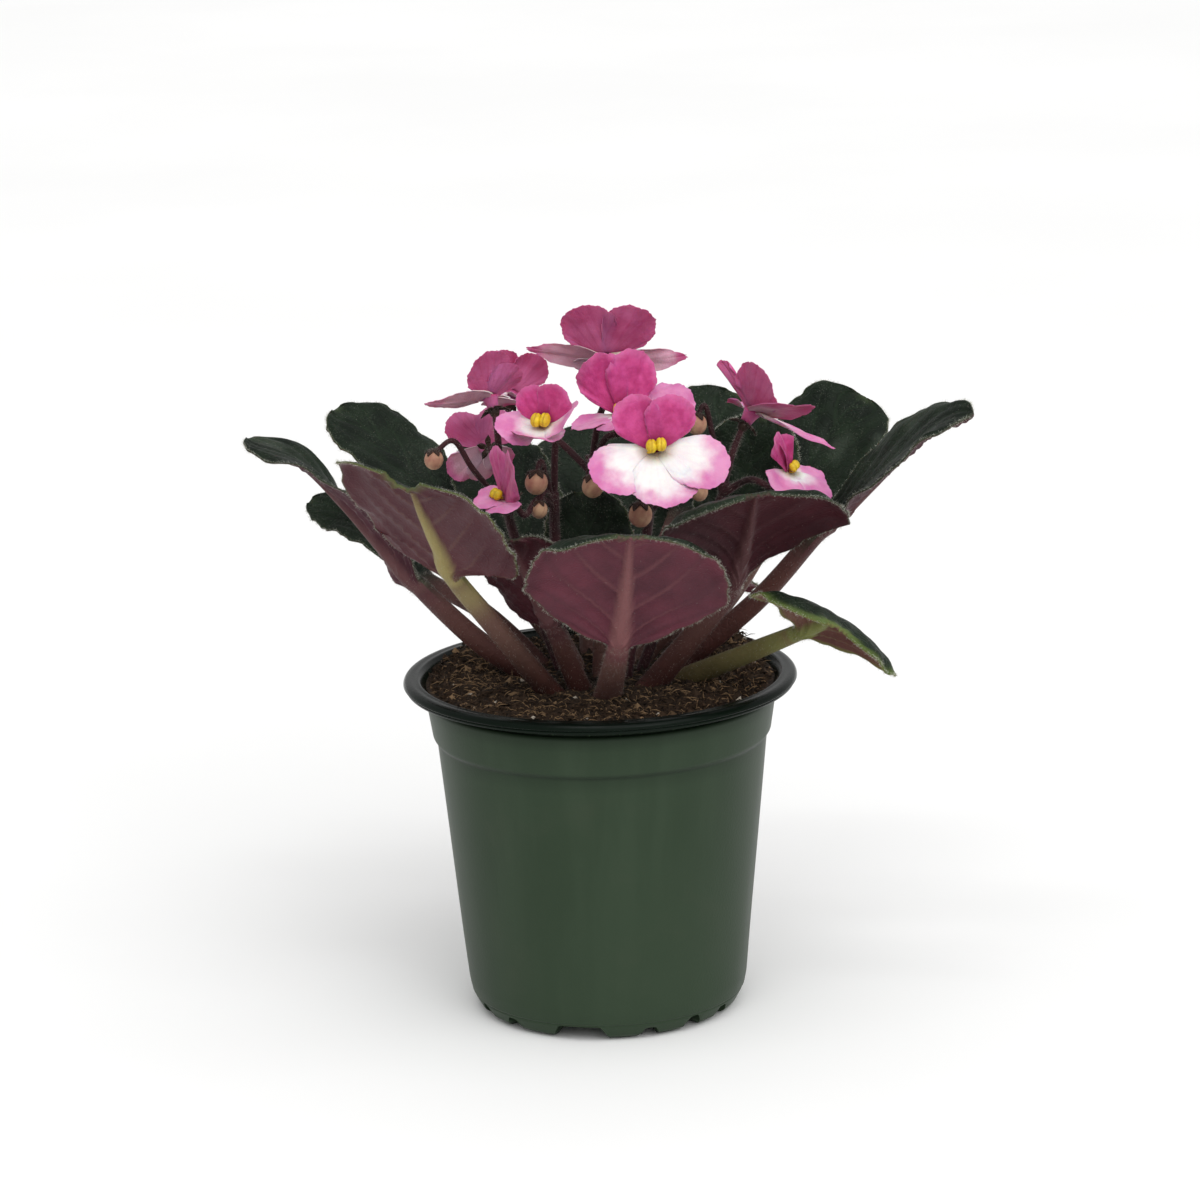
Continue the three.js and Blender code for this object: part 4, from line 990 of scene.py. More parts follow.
# Blooms: throat, the way it faces, the way its upper lobes point, and what is different about it and about
# single lobes.
bloomPlaces = {
    "bloom_main": {
        "throat": (16.2, -35, 163.8), "facing": (0.08, -0.93, 0.36), "upward": (0, 0.3, 1),
        "upperLeft": {"turn": 5.78, "half": 6.6, "length": 16.8},
        "upperRight": {"turn": 0.38, "half": 6.9, "length": 16.6},
        "sideLeft": {"turn": 4.13}, "sideRight": {"turn": 2.0, "length": 20.4},
        "middle": {"turn": 3.0, "half": 9.0}},
    "bloom_behind_main": {
        "throat": (8, -3, 166.6), "facing": (0.05, -0.85, 0.5), "upward": (-0.2, 0.4, 1), "size": 1.05,
        "width": 0.9, "cupped": 2.4, "blush": 0.4, "upperRight": {"half": 7.3, "turn": 0.4, "wavy": 2.0},
        "upperLeft": {"half": 7.3, "turn": 5.93, "length": 18.2, "wavy": 2.0},
        "sideLeft": {"length": 16, "half": 7},
        "sideRight": {"turn": 1.6, "lean": -0.1, "length": 21, "half": 7.5, "wavy": 1.5}},
    "bloom_top": {
        "throat": (4.2, 14, 178.5), "facing": (0, 0.57, 0.82), "upward": (0.08, -0.3, 1), "cupped": 0.2,
        "upperLeft": {"turn": 5.84, "length": 19.6, "half": 7.6, "curl": -0.15},
        "upperRight": {"turn": 0.46, "length": 19.6, "half": 7.6, "curl": -0.15},
        "sideLeft": {"turn": 4.56, "tilt": 0.04, "half": 4.9, "length": 23, "taper": 0.66,
                     "point": 0.7, "twist": 0.8},
        "sideRight": {"turn": 1.66, "tilt": 0.1, "half": 5.0, "length": 22, "taper": 0.66,
                      "point": 0.7, "twist": -0.8},
        "middle": {"length": 14}},
    "bloom_left_front": {
        "throat": (-12.7, -22, 168.3), "facing": (-0.35, -0.8, 0.46), "upward": (0.2, 0.3, 1), "size": 0.78,
        "width": 0.95, "cupped": 1.2, "antherSize": 1.35, "blush": 0.2,
        "upperLeft": {"length": 15, "half": 6.6, "fold": 0.2, "curl": 0.3},
        "upperRight": {"length": 17.6, "half": 7.2, "fold": 0.2, "curl": 0.3},
        "middle": {"turn": 3.05, "half": 9.5, "length": 16, "curl": 1.1},
        "sideLeft": {"turn": 4.3, "length": 18, "curl": 0.5},
        "sideRight": {"turn": 1.75, "tilt": 0.3, "length": 18.5, "curl": 0.7, "fold": 0.1}},
    "bloom_left_top": {
        "throat": (-27.5, 0, 171.5), "facing": (-0.25, 0.5, 0.83), "upward": (0.3, -0.3, 1), "size": 0.87,
        "cupped": 0.6, "upperRight": {"length": 17, "half": 8, "turn": 0.3},
        "upperLeft": {"turn": 5.8, "length": 13, "half": 6.0},
        "sideRight": {"turn": 1.6, "tilt": -0.06, "length": 24, "half": 5.8, "taper": 0.62,
                      "point": 0.7, "twist": -0.9},
        "sideLeft": {"turn": 4.2, "tilt": -0.2, "length": 12, "half": 6}, "middle": {"length": 14}},
    "bloom_left_back": {
        "throat": (-22.5, 27, 167), "facing": (0.1, 0.6, 0.77), "upward": (0.2, -0.2, 1), "size": 0.8,
        "cupped": 0.6, "upperRight": {"fold": 0.3, "half": 6.5}, "upperLeft": {"half": 6.5},
        "sideRight": {"turn": 0.95, "length": 18, "half": 7.5, "tilt": -0.25},
        "sideLeft": {"turn": 5.7, "length": 15, "half": 7, "tilt": -0.35}},
    "bloom_left_low": {
        "throat": (-24.4, -27, 149.6), "facing": (-0.72, -0.4, 0.5), "upward": (0.5, 0, 1), "size": 0.8,
        "cupped": 2.1, "blush": 0.6, "upperLeft": {"length": 18, "turn": 6.05, "half": 7.6},
        "upperRight": {"length": 22, "turn": 0.6, "half": 8.6}, "middle": {"length": 10.5, "half": 6},
        "sideLeft": {"length": 10, "half": 5.5}, "sideRight": {"length": 12, "half": 6}},
    "bloom_left_turned": {
        "throat": (-29.5, 7, 156.5), "facing": (-0.3, 0.94, -0.1), "upward": (0, 0, 1), "size": 0.74,
        "middle": {"length": 15, "half": 6.5}, "sideLeft": {"turn": 3.9, "length": 14, "half": 6},
        "sideRight": {"turn": 2.3, "length": 17, "half": 6.5}, "upperLeft": {"turn": 5.65},
        "upperRight": {"turn": 0.6}},
    "bloom_right": {
        "throat": (43.3, 5, 164.5), "facing": (0.55, 0.35, 0.76), "upward": (-0.2, -0.4, 0.85), "size": 0.95,
        "cupped": 0.9, "blush": 0.4, "upperLeft": {"turn": 5.95, "length": 17, "half": 8.2},
        "upperRight": {"turn": 0.75, "length": 17.5, "half": 2.2, "fold": 0.3, "point": 0.6},
        "sideLeft": {"turn": 4.9, "tilt": 0.28, "half": 5.2, "length": 27, "taper": 0.6, "point": 0.6,
                     "twist": 0.8},
        "middle": {"turn": 4.2, "tilt": -0.15, "half": 4.6, "fold": 0.3, "length": 26, "taper": 0.55,
                   "point": 0.6},
        "sideRight": {"half": 4.5, "fold": 0.4, "length": 11}},
    "bloom_right_low": {
        "throat": (52.2, -15, 152.3), "facing": (0.68, -0.45, 0.58), "upward": (-0.3, 0.1, 1), "size": 0.7,
        "cupped": 0.75, "blush": 0.4, "upperLeft": {"length": 20, "half": 5.0, "turn": 5.7},
        "upperRight": {"length": 16, "half": 4.0, "fold": 0.4, "turn": 6.0},
        "sideRight": {"turn": 2.5, "length": 16}},
}
# What a bloom has unless its own list says otherwise. Cupped is how far its lower lobes lean forward, and
# blush is how far the pink comes into them.
bloomUsual = {"size": 1.0, "width": 1.0, "cupped": 1.0, "blush": 0.0, "antherSize": 1.0}
# Each lobe: direction from the top, length, half width, lean of its half of the bloom, its place in the pile.
lobes = {
    "upperRight": {"turn": 0.46, "length": 17.6, "half": 8.0, "lean": 0.58, "layer": 1.0, "crease": 0.35},
    "sideRight": {"turn": 1.93, "length": 19.8, "half": 8.6, "lean": -0.42, "layer": 0.4, "blush": 0.1},
    "middle": {"turn": 3.14, "length": 19.6, "half": 9.3, "lean": -0.42, "layer": 0.9},
    "sideLeft": {"turn": 4.35, "length": 19.8, "half": 8.6, "lean": -0.42, "layer": 0.2, "blush": 0.1},
    "upperLeft": {"turn": 5.82, "length": 17.6, "half": 8.0, "lean": 0.58, "layer": 0.2, "crease": 0.35},
}
# The taper is the share of the length that the rounded tip takes. None gives a round one.
lobeUsual = {"fold": 0.05, "curl": 0.12, "tilt": 0.0, "twist": 0.0, "point": 0.0, "taper": None, "wavy": 1.0,
             "crease": 0.15, "blush": -0.02}
petal = {
    "throatRadius": 2.2, "tubeDepth": 3.6, "thickness": 0.3, "rows": 20, "columns": 57, "around": 2.1,
    # turns, share of the seed and height of the waves in the outline and in the surface
    "fringe": 0.018, "fringeWaves": ((21, 3, 1.0), (43, 1, 0.8), (9, 5, 0.5), (71, 2, 0.7)),
    "ruffle": 0.55, "ruffleWaves": ((4.5, 2, 0.8), (9.5, 1, 0.45), (17, 4, 0.25)),
    "roundTip": 0.95, "longestTip": 0.6, "sway": 0.7, "layerGap": 0.5, "edgeCurl": -0.9, "creaseWidth": 1.1,
    "seedStep": (1.7, 2.1),
    "tube": [(0.2, -2.6), (1.2, -2.2), (1.75, -0.9), (2.35, 0.15), (2.7, 0.05), (2.3, -0.9), (1.9, -2.4),
             (1.7, -3.6), (0.2, -3.6)],
    "tubeLip": 4, "tubeSides": 24,
    "magenta": ((0.46, 0.040, 0.185), (0.60, 0.075, 0.27)),
    "deep": (0.30, 0.012, 0.10),
    "rim": (0.72, 0.22, 0.46),
    "lilac": ((0.58, 0.12, 0.35), (0.70, 0.25, 0.47)),
    "white": ((0.82, 0.74, 0.75), (0.87, 0.83, 0.80)),
    # painted shadow at the throat, under the anthers
    "throatShadow": (0.30, 0.20, 0.08),
    "back": ((0.38, 0.06, 0.17), (0.54, 0.14, 0.31)),
    "paleBack": ((0.46, 0.25, 0.32), (0.62, 0.38, 0.47)),
}


# The upper lobes are magenta, and the lip is white with a pink margin. Both have paler backs.
def makePetalFinish():
    material, desk, into = newMaterial(
        "petalSkin", Roughness=0.6, Specular_IOR_Level=0.25, Sheen_Weight=0.12, Sheen_Roughness=0.4,
        Subsurface_Weight=0.2, Subsurface_Scale=0.0015)
    reach, margin, lip = desk.value("reach"), desk.value("rim"), desk.value("lip")
    drift = desk.times(desk.minus(desk.noise(scale=210.0, detail=6.0), 0.5), 0.5)
    wander = desk.plus(desk.times(desk.value("turn"), 34.0), desk.times(desk.noise(scale=60.0), 6.0))
    streak = desk.times(desk.mask(desk.math("SINE", wander), 0.2, 1.0), desk.mask(reach, 0.0, 0.4))
    pink = mottled(desk, petal["magenta"], scale=420.0)["Colour"]
    pink = desk.tint(pink, petal["deep"], streak, 0.05)
    marginMask = desk.mask(desk.plus(margin, desk.times(drift, 0.3)), 0.8, 1.02)
    pink = desk.tint(pink, petal["rim"], marginMask, 0.45)
    pink = desk.tint(pink, petal["deep"], desk.below(reach, 0.1, 0.5), 0.6)
    white = mottled(desk, petal["white"], scale=220.0)["Colour"]
    white = desk.tint(white, petal["lilac"][0], streak, 0.04)
    outer = desk.plus(desk.times(reach, 0.75), desk.times(margin, 0.3))
    outer = desk.plus(outer, desk.plus(drift, desk.value("blush")))
    lipTone = desk.tint(white, mottled(desk, petal["lilac"], scale=200.0)["Colour"],
                        desk.mask(outer, 0.62, 1.02), 0.95)
    # Painted shadow: the lip turns warm brown at the throat, where the anthers shade it.
    lipTone = desk.tint(lipTone, petal["throatShadow"], desk.below(reach, 0.1, 0.32), 0.75)
    rear = mottled(desk, petal["back"], scale=110.0)["Colour"]
    rear = desk.tint(rear, petal["deep"], streak, 0.15)
    paleRear = mottled(desk, petal["paleBack"], scale=150.0)["Colour"]
    paleRear = desk.mix(desk.mask(outer, 0.8, 1.15), paleRear, rear)
    front, rear = desk.mix(lip, pink, lipTone), desk.mix(lip, rear, paleRear)
    lines = desk.times(streak, desk.minus(0.12, desk.times(lip, 0.1)))
    crinkle = desk.times(desk.noise(scale=330.0), desk.minus(1.6, lip))
    relief = desk.plus(desk.plus(lines, desk.times(desk.cells(scale=1900.0), 0.4)), crinkle)
    desk.finish(into, desk.mix(desk.value("back"), front, rear), relief, distance=0.00045)
    return material


def bloomMatrix(place):
    z = unit(np.array(place["facing"], float))
    y = np.array(place["upward"], float)
    y = unit(y - y.dot(z) * z)
    size = place["size"]
    basis = np.stack([np.cross(y, z) * size * place["width"], y * size, z * size], 1)
    return basis, np.array(place["throat"], float)


def toPlace(matrix, points):
    basis, origin = matrix
    return points @ basis.T + origin


# One lobe in its own frame, at places from the throat out (s) and across (v): how far out, how far aside, and
# its lift, with a rounded or pointed tip, folded and waved.
def flatLobe(form, s, v, seed):
    length, half = form["length"], form["half"]
    around = v * petal["around"]
    grow = 1 + petal["fringe"] * waves(v, seed, petal["fringeWaves"])
    tip = length * (form["taper"] or min(petal["roundTip"] * half / length, petal["longestTip"]))
    outX, outY = length - tip + tip * np.cos(around) * grow, half * np.sin(around) * grow
    outY = outY * (1 - form["point"] * np.maximum(np.cos(around), 0))
    start = petal["throatRadius"] * 0.6
    x = start + (outX - start) * s
    y = petal["throatRadius"] * v * (1 - s) + outY * s
    lift = form["fold"] * y ** 2 / half
    lift = lift + petal["edgeCurl"] * s ** 5 * (0.6 + 0.4 * v ** 2)
    lift = lift - form["crease"] * bell(y, petal["creaseWidth"]) * np.sin(math.pi * s) ** 0.8
    lift = lift + petal["ruffle"] * form["wavy"] * s ** 2.5 * waves(v, seed, petal["ruffleWaves"])
    lift = lift + petal["sway"] * np.sin(seed + v * 3.1 + s * 3) * s
    lift = lift + petal["layerGap"] * form["layer"] * ease(s, 0, 1 / 3)
    twist = form["twist"] * x / length
    return x, y * np.cos(twist) - lift * np.sin(twist), y * np.sin(twist) + lift * np.cos(twist)


# One lobe as a thin sheet. It bends along its length, turns to its place and leans with its half.
def lobeRings(form, cupped, seed):
    s = np.sin(np.linspace(0, 1, petal["rows"]) * math.pi / 2)[:, None]
    v = np.linspace(-1, 1, petal["columns"])[None, :]
    x, y, lift = flatLobe(form, s, v, seed)
    bend = form["curl"] / form["length"] + 1e-6
    tilt, turn = form["tilt"], form["turn"]
    slope = tilt + bend * x
    away = (np.sin(slope) - math.sin(tilt)) / bend - np.sin(slope) * lift
    rise = (math.cos(tilt) - np.cos(slope)) / bend + np.cos(slope) * lift
    localX = away * math.sin(turn) + y * math.cos(turn)
    localY = away * math.cos(turn) - y * math.sin(turn)
    lean = form["lean"] * (cupped if form["lean"] < 0 else 1)
    sheet = np.stack([localX, localY * math.cos(lean) - rise * math.sin(lean),
                      localY * math.sin(lean) + rise * math.cos(lean)], -1)
    normal = unit(np.cross(np.gradient(sheet, axis=0), np.gradient(sheet, axis=1)))
    if normal[petal["rows"] // 2, petal["columns"] // 2, 2] < 0:
        normal = -normal
    half = petal["thickness"] / 2 * (1 - 0.5 * s ** 6)[..., None]
    reach = np.clip(np.hypot(x, y * 0.8) / form["length"], 0, 1.1)
    values = [reach, np.broadcast_to(s, x.shape), np.arctan2(y, x + 2.0) + turn]
    return bothSides(sheet + normal * half, sheet - normal * half), [bothSides(g, g).ravel() for g in values]


def addTube(shape, matrix):
    sides = petal["tubeSides"]
    outside = np.repeat(np.arange(len(petal["tube"])) > petal["tubeLip"], sides).astype(float)
    shape.addRings(turnedRings(petal["tube"], sides), matrix=matrix, reach=0.1, back=outside)


def makeBloom(name, place, number, material):
    shape = Shape("reach", "rim", "turn", "lip", "back", "blush")
    matrix = bloomMatrix(place)
    bloomStep, lobeStep = petal["seedStep"]
    for index, (lobeName, usual) in enumerate(lobes.items()):
        form = {**lobeUsual, **usual, **place.get(lobeName, {})}
        rings, (reach, margin, turn) = lobeRings(form, place["cupped"], number * bloomStep + index * lobeStep)
        shape.addRings(rings, matrix=matrix, reach=reach, rim=margin, turn=turn,
                       lip=1.0 if form["lean"] < 0 else 0.0, blush=form["blush"] + place["blush"],
                       back=np.tile(np.repeat([0.0, 1.0], petal["columns"]), petal["rows"]))
    addTube(shape, matrix)
    return shape.toObject(f"{name}_petals", [material], name)


# Anthers: two plump pouches side by side, each with a seam, on one short stalk, and the style beside them.
anther = {
    "size": 1.5, "apart": 1.25, "lift": 3.3, "stretch": (1.0, 1.3, 0.95), "sides": 28, "rows": 18,
    "seamWidth": 0.16, "seamDepth": 0.16, "waist": 0.12,
    "stalk": [(0, 0.1, 0.3), (0, 0.1, 1.6), (0, 0.2, 3.2)], "stalkRadius": 0.6,
    "style": [(-0.8, -0.4, 0.2), (-1.7, -1.4, 2.0), (-2.4, -1.6, 3.8)], "styleRadius": 0.28,
    "yellow": ((0.56, 0.36, 0.004), (0.78, 0.58, 0.012)),
    "seam": (0.42, 0.24, 0.01),
}


def makePollenFinish():
    material, desk, into = newMaterial("pollenYellow", Roughness=0.55, Subsurface_Weight=0.1,
                                       Subsurface_Scale=0.001)
    tone = mottled(desk, anther["yellow"], scale=700.0)["Colour"]
    desk.finish(into, desk.mix(desk.value("seam"), tone, anther["seam"]),
                desk.noise(scale=4200.0, detail=2.0), distance=0.0001)
    return material


def makeAnthers(name, place, material):
    shape = Shape("seam")
    matrix = bloomMatrix(place)
    grow = place["antherSize"]
    turn, fall = ballAngles(anther["sides"], anther["rows"], 0.06)
    x, y, z = np.sin(fall) * np.cos(turn), np.sin(fall) * np.sin(turn), np.cos(fall) + 0 * turn
    seam = bell(x, anther["seamWidth"]) * (z > -0.3)
    wide, long, tall = anther["stretch"]
    for side in (-1, 1):
        bean = 1 - anther["seamDepth"] * seam - anther["waist"] * bell(y - 0.2, 0.25) * (x * side < 0)
        body = np.stack([x * wide * bean, y * long * bean, z * tall * bean], -1) * anther["size"] * grow
        centre = np.array([side * anther["apart"] * grow, 0.4 + side * 0.2, anther["lift"] * grow])
        shape.addRings(body + centre, matrix=matrix, seam=(seam * 0.6).ravel())
    stalk = [*anther["stalk"][:2], np.multiply(anther["stalk"][2], (1, 1, grow))]
    for path, thick in ((stalk, anther["stalkRadius"]), (anther["style"], anther["styleRadius"])):
        centre, _, side, up = curveFrames(path, np.linspace(0, 1, 10), (1, 0.2, 0.1))
        shape.addRings(roundRing(centre, side, up, thick, 10), matrix=matrix, seam=0.8)
    return shape.toObject(f"{name}_pollen", [material], f"{name}_anthers")


petalSkin, pollenYellow = makePetalFinish(), makePollenFinish()
blooms = {name: {**bloomUsual, **place} for name, place in bloomPlaces.items()}
for number, (bloomName, bloom) in enumerate(blooms.items()):
    makeBloom(bloomName, bloom, number, petalSkin)
    makeAnthers(bloomName, bloom, pollenYellow)
print("blooms done")

# Flower sprays: the main stalk, the blooms that it carries, and the place and radius of its closed buds.
sprayPlaces = {
    "spray_centre": {
        "root": (-8, -8), "main": [(-10.5, -12, 112), (-11, -14, 132), (-11, -14, 148)], "radius": (2.1, 1.6),
        "blooms": ["bloom_left_front", "bloom_left_low"],
        "buds": [(-15.5, -21.5, 152.5, 3.1), (-15, -21, 145, 2.3)]},
    "spray_left": {
        "root": (-10, 2), "main": [(-17, 1, 114), (-22, 0, 132), (-25, -1, 144)], "radius": (1.9, 1.4),
        "blooms": ["bloom_left_top", "bloom_left_turned"], "buds": [(-43, -10, 157, 2.6)]},
    "spray_back": {
        "root": (0, 7), "main": [(0, 10, 114), (-1, 12, 134), (-1, 13, 152)], "radius": (2.0, 1.5),
        "blooms": ["bloom_top", "bloom_behind_main", "bloom_left_back"], "buds": [(-0.5, -6, 147.5, 3.0)]},
    "spray_front": {
        "root": (7, -7), "main": [(10, -9, 112), (13, -11, 130), (15, -13, 145)], "radius": (2.0, 1.5),
        "blooms": ["bloom_main"], "buds": [(12, -22, 143, 3.2), (28, -14, 147, 2.4)]},
    "spray_right": {
        "root": (10.5, 0.5), "main": [(20, 2, 114), (30, 2, 132), (36, 1, 146)], "radius": (1.9, 1.4),
        "blooms": ["bloom_right", "bloom_right_low"], "buds": [(28, -2, 163, 2.8)]},
}
spray = {
    "across": (0.31, 0.95, 0.07), "hairWidth": 0.02,
    # rows and sides of the tube, hairs, and where they start
    "mainStalk": (60, 16, 1100, 16), "bloomStalk": (34, 12, 420, 0), "budStalk": (30, 12, 240, 0),
    "bloomRadius": (1.15, 0.95), "budRadius": (1.0, 0.8), "stalkHairs": (0.6, 1.4),
    # the cup behind a bloom: radius and height from its top
    "cup": [(0.2, 0), (1.6, -0.1), (1.75, -0.8), (1.25, -2.2), (0.2, -2.6)], "cupSides": 20, "cupGap": 0.4,
    "sepals": 5, "sepalRows": 12, "sepalColumns": 7, "sepalReach": 4.9, "sepalRoot": 1.2, "sepalHalf": 0.16,
    "sepalWidth": 1.05, "sepalTip": 0.08, "sepalFold": 0.3, "sepalDroop": 0.7, "sepalGap": 0.35,
    "sepalHairs": (36, (0.5, 1.0)), "budSepalHairs": (30, (0.4, 0.9)), "budHairs": (70, (0.4, 0.9)),
    "budSides": 30, "budRows": 20, "budTall": 1.06, "budFolds": 2.5, "budFoldTurn": 1.5, "budFoldDepth": 0.07,
    # the sepals on a bud: outer and inner face, where they start and how far they reach down, half width
    "budSepalFaces": (1.13, 1.03), "budSepalFall": (0.15, 0.95), "budSepalHalf": 0.3,
    # where a side stalk ends behind a bloom and how far behind and below it bends, and how much it rises
    "stalkEnd": 1.8, "stalkBehind": 7, "stalkBelow": 1.5, "stalkRise": 1.5,
    "stem": ((0.016, 0.005, 0.006), (0.052, 0.013, 0.017)),
    "sepal": ((0.012, 0.007, 0.005), (0.050, 0.024, 0.016)),
    "bud": ((0.33, 0.135, 0.10), (0.55, 0.35, 0.21)),
    "down": (0.2, 0.15, 0.12),
}
stemFinish, sepalFinish, budFinish, hairFinish = range(4)


def makeSprayFinish(name, tones, scale):
    material, desk, into = newMaterial(name, Specular_IOR_Level=0.22, Sheen_Weight=0.05, Sheen_Roughness=0.4)
    tone = mottled(desk, tones, scale, contrast=0.28)
    down = desk.group(fineDown, Scale=1700.0, Size=0.35)
    colour = desk.tint(tone["Colour"], spray["down"], down["Dots"], 0.15)
    desk.finish(into, desk.tint(colour, tones[0], desk.value("seam"), 0.8), down["Height"],
                roughness=desk.plus(0.5, desk.times(tone["Patches"], 0.2)))
    return material


def addStem(shape, path, radii, form, rng):
    rows, sides, hairs, fromRow = form
    t = np.linspace(0, 1, rows)
    centre, _, side, up = curveFrames(path, t, spray["across"])
    rings = roundRing(centre, side, up, radii[0] + (radii[1] - radii[0]) * t, sides)
    shape.addRings(rings, stemFinish)
    addHairs(shape, rings, (fromRow, rows - 1.01), spray["stalkHairs"], hairs, spray["hairWidth"], rng,
             hairFinish)


# A sheet or a bud with hairs between two of its rows.
def addHairySkin(shape, rings, finish, hairForm, lastRow, rng, seam=0.0):
    shape.addRings(rings, finish, seam=seam)
    hairs, lengthSpan = hairForm
    addHairs(shape, rings, (1, lastRow), lengthSpan, hairs, spray["hairWidth"], rng, hairFinish, lean=0.5)


def sepalPlaces():
    return (np.linspace(0, 1, spray["sepalRows"])[:, None],
            np.linspace(-1, 1, spray["sepalColumns"])[None, :])


# Narrow sepals that lie open behind a bloom, round a small cup.
def addSepals(shape, matrix, base, rng):
    s, v = sepalPlaces()
    root, half = spray["sepalRoot"], np.array([0, 0, spray["sepalHalf"]])
    for k in range(spray["sepals"]):
        turn = k * fullTurn / spray["sepals"]
        width = spray["sepalWidth"] * np.sin(math.pi * (0.18 + 0.8 * s)) ** 0.8 * (1 - s ** 4)
        width = width + spray["sepalTip"]
        x, y = root + (spray["sepalReach"] - root) * s + 0 * v, v * width
        flat = np.stack([x * math.sin(turn) + y * math.cos(turn), x * math.cos(turn) - y * math.sin(turn),
                         spray["sepalFold"] * y ** 2 - spray["sepalDroop"] * s ** 2], -1)
        rings = toPlace(matrix, bothSides(flat + half, flat - half) + base)
        addHairySkin(shape, rings, sepalFinish, spray["sepalHairs"], spray["sepalRows"] - 1.2, rng)


# Sepals that hug the upper part of a hanging bud.
def addBudSepals(shape, centre, size, rng):
    s, v = sepalPlaces()
    start, reach = spray["budSepalFall"]
    for k in range(spray["sepals"]):
        fall = start + reach * s
        spread = spray["budSepalHalf"] * np.sin(math.pi * (0.15 + 0.83 * s)) * v
        spread = spread / np.maximum(np.sin(fall), 0.25)
        turn = k * fullTurn / spray["sepals"] + 0.3 + spread
        around = np.stack([np.sin(fall) * np.cos(turn), np.sin(fall) * np.sin(turn),
                           spray["budTall"] * np.cos(fall) + 0 * v], -1)
        outer, inner = (size * grow * around for grow in spray["budSepalFaces"])
        addHairySkin(shape, bothSides(outer, inner) + centre, sepalFinish, spray["budSepalHairs"],
                     spray["sepalRows"] - 1.2, rng)


def addBud(shape, centre, size, rng):
    turn, fall = ballAngles(spray["budSides"], spray["budRows"], 0.05)
    folds = np.abs(np.sin(spray["budFolds"] * turn + spray["budFoldTurn"] * fall))
    radius = size * (1 - spray["budFoldDepth"] * (1 - folds ** 0.5))
    body = np.stack([radius * np.sin(fall) * np.cos(turn), radius * np.sin(fall) * np.sin(turn),
                     spray["budTall"] * size * np.cos(fall) + 0 * turn], -1)
    addHairySkin(shape, body + centre, budFinish, spray["budHairs"], spray["budRows"] - 2, rng,
                 seam=bell(folds, 0.22).ravel() * 0.8)
    addBudSepals(shape, centre, size, rng)


# The side stalk to one bloom, with the cup and the open sepals behind it.
def addBloomStalk(shape, bloom, fork, below, rng):
    matrix = bloomMatrix(bloom)
    back = toPlace(matrix, np.array([0, 0, -petal["tubeDepth"] - spray["stalkEnd"]]))
    behind = toPlace(matrix, np.array([0, -spray["stalkBelow"], -petal["tubeDepth"] - spray["stalkBehind"]]))
    middle = fork + (behind - fork) * 0.5 + np.array([0, 0, spray["stalkRise"]])
    addStem(shape, [below, middle, behind, back], spray["bloomRadius"], spray["bloomStalk"], rng)
    cupTop = np.array([0, 0, -petal["tubeDepth"] - spray["cupGap"]])
    shape.addRings(turnedRings(spray["cup"], spray["cupSides"]) + cupTop, sepalFinish, matrix)
    addSepals(shape, matrix, cupTop - np.array([0, 0, spray["sepalGap"]]), rng)


# The side stalk to one bud rises over it, and the bud hangs from its end.
def addBudStalk(shape, centre, size, fork, below, rng):
    over = centre + (fork - centre) * 0.3
    over[2] = centre[2] + size * 1.7
    rise = fork + (over - fork) * 0.6
    rise[2] = (fork[2] + over[2]) / 2
    end = centre + np.array([0, 0, size * 0.6])
    addStem(shape, [below, rise, over, end], spray["budRadius"], spray["budStalk"], rng)
    addBud(shape, centre, size, rng)


def makeSpray(name, place, materials, seed):
    rng = np.random.default_rng(500 + seed)
    shape = Shape("seam", "hairTone")
    ground = soilHeight(*place["root"])
    main = [(*place["root"], ground - leafForm["rootDepth"]), (*place["root"], ground), *place["main"]]
    main = np.array(main, float)
    addStem(shape, main, place["radius"], spray["mainStalk"], rng)
    fork = main[-1]
    below = main[-2] + (fork - main[-2]) * 0.75
    for bloomName in place["blooms"]:
        addBloomStalk(shape, blooms[bloomName], fork, below, rng)
    for *centre, size in place["buds"]:
        addBudStalk(shape, np.array(centre), size, fork, below, rng)
    return shape.toObject(f"{name}_stems", materials, name)


sprayFinishes = [makeSprayFinish("stemMaroon", spray["stem"], scale=160.0),
                 makeSprayFinish("sepalSkin", spray["sepal"], scale=260.0),
                 makeSprayFinish("budSkin", spray["bud"], scale=240.0), paleHair]
for number, (sprayName, sprayPlace) in enumerate(sprayPlaces.items()):
    makeSpray(sprayName, sprayPlace, sprayFinishes, number)
print("sprays done")

# Floor, light and camera, in metres and degrees, with the camera's own turns in radians
studio = {
    "cameraPlace": (0.000565, -1.18037, 0.41431), "lookDown": 0.2489007, "roll": -0.02834175,
    "lens": 133.7303, "sensor": 36.0, "clip": (0.05, 40.0),
    "floor": ((0.94, 0.94, 0.935), (0.97, 0.97, 0.965)), "floorReach": 9.0, "floorDrop": 0.0002,
    "worldStrength": 0.68,
    "sun": {"towards": (-0.3, 0.75, -1.0), "strength": 1.5, "softness": 70.0},
    # place, size and power of the soft boxes, and where they point
    "lights": [((0.62, -1.15, 0.95), (0.5, 0.5), 1.6), ((-0.15, -0.75, 1.35), (0.6, 0.06), 1.6)],
    "aim": (0.0, 0.0, 0.1),
}


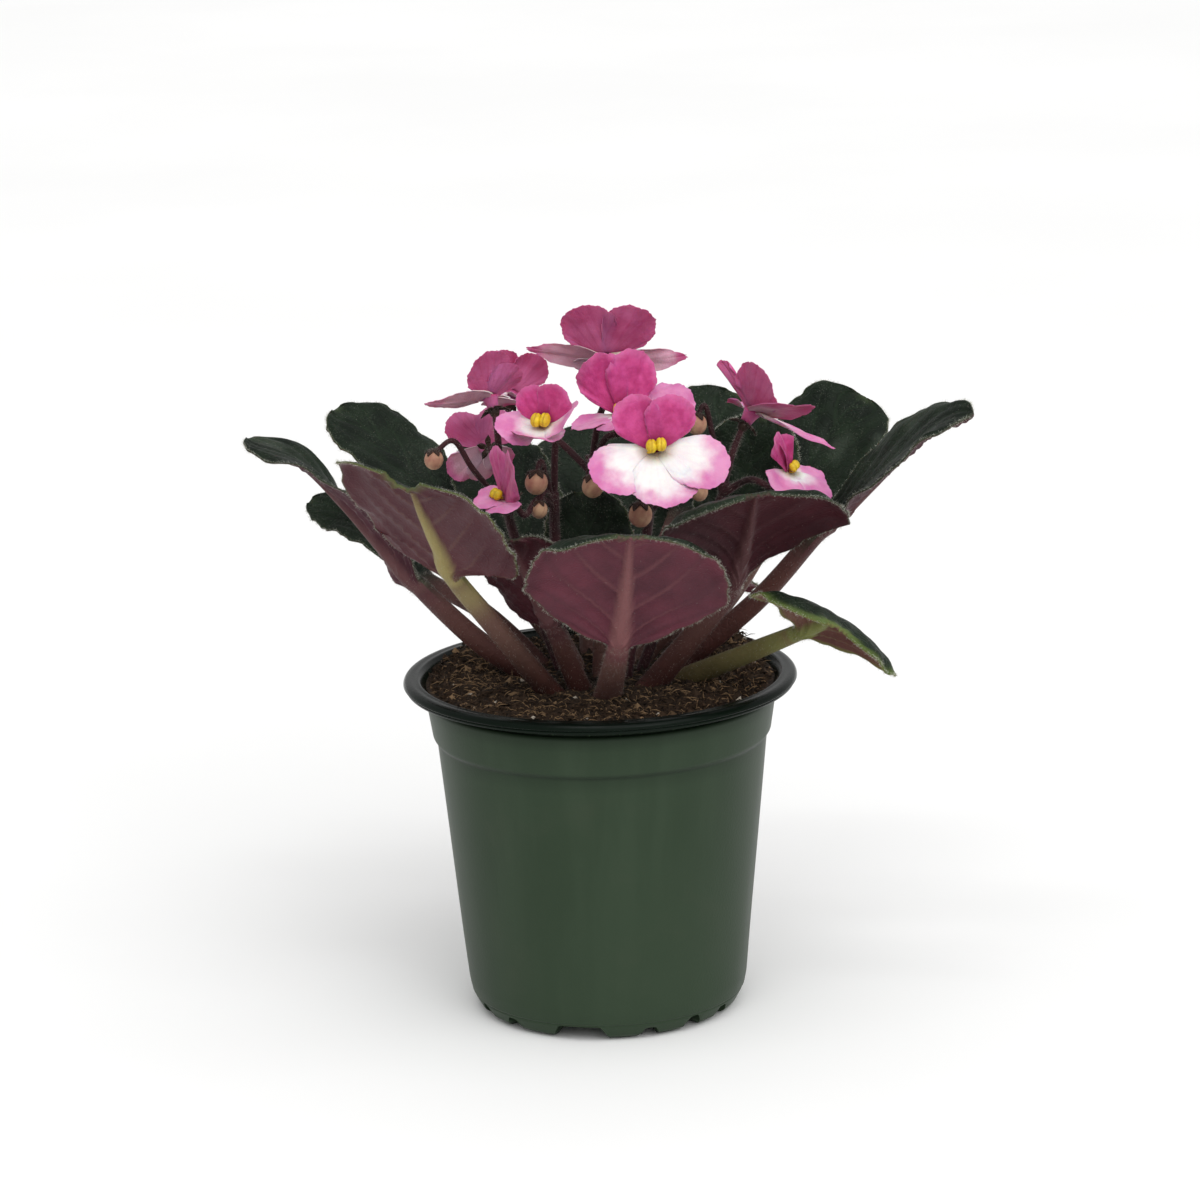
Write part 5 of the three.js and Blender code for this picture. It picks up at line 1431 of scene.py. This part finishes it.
def makeFloor():
    material, desk, into = newMaterial("paleFloor", Roughness=0.8)
    desk.finish(into, mottled(desk, studio["floor"], scale=3.0)["Colour"])
    mesh = bpy.data.meshes.new("floor")
    reach = studio["floorReach"]
    mesh.from_pydata([(-reach, -reach, 0), (reach, -reach, 0), (reach, reach, 0), (-reach, reach, 0)], [],
                     [(0, 1, 2, 3)])
    mesh.materials.append(material)
    floor = bpy.data.objects.new("floor", mesh)
    floor.location.z = -studio["floorDrop"]
    scene.collection.objects.link(floor)


def addLight(name, kind, power, towards, place=(0, 0, 0)):
    data = bpy.data.lights.new(name, kind)
    data.energy = power
    light = bpy.data.objects.new(name, data)
    light.location = place
    light.rotation_euler = Vector(towards).to_track_quat("-Z", "Y").to_euler()
    scene.collection.objects.link(light)
    return data


def makeLights():
    world = bpy.data.worlds.new("studio")
    world.use_nodes = True
    background = world.node_tree.nodes["Background"]
    background.inputs["Color"].default_value = (1, 1, 1, 1)
    background.inputs["Strength"].default_value = studio["worldStrength"]
    scene.world = world
    sun = studio["sun"]
    addLight("softSun", "SUN", sun["strength"], sun["towards"]).angle = math.radians(sun["softness"])
    for number, (place, size, power) in enumerate(studio["lights"]):
        light = addLight(f"softbox{number}", "AREA", power, Vector(studio["aim"]) - Vector(place), place)
        light.shape = "RECTANGLE"
        light.size, light.size_y = size


def makeCamera():
    data = bpy.data.cameras.new("camera")
    data.lens, data.sensor_width = studio["lens"], studio["sensor"]
    data.clip_start, data.clip_end = studio["clip"]
    camera = bpy.data.objects.new("camera", data)
    down, roll = studio["lookDown"], studio["roll"]
    forward = np.array([0, math.cos(down), -math.sin(down)])
    right, up = np.array([1.0, 0, 0]), np.array([0, math.sin(down), math.cos(down)])
    tiltedRight = math.cos(roll) * right + math.sin(roll) * up
    tiltedUp = -math.sin(roll) * right + math.cos(roll) * up
    turned = Matrix(np.stack([tiltedRight, tiltedUp, -forward], 1).tolist()).to_4x4()
    camera.matrix_world = Matrix.Translation(studio["cameraPlace"]) @ turned
    scene.collection.objects.link(camera)
    scene.camera = camera


makeFloor()
makeLights()
makeCamera()
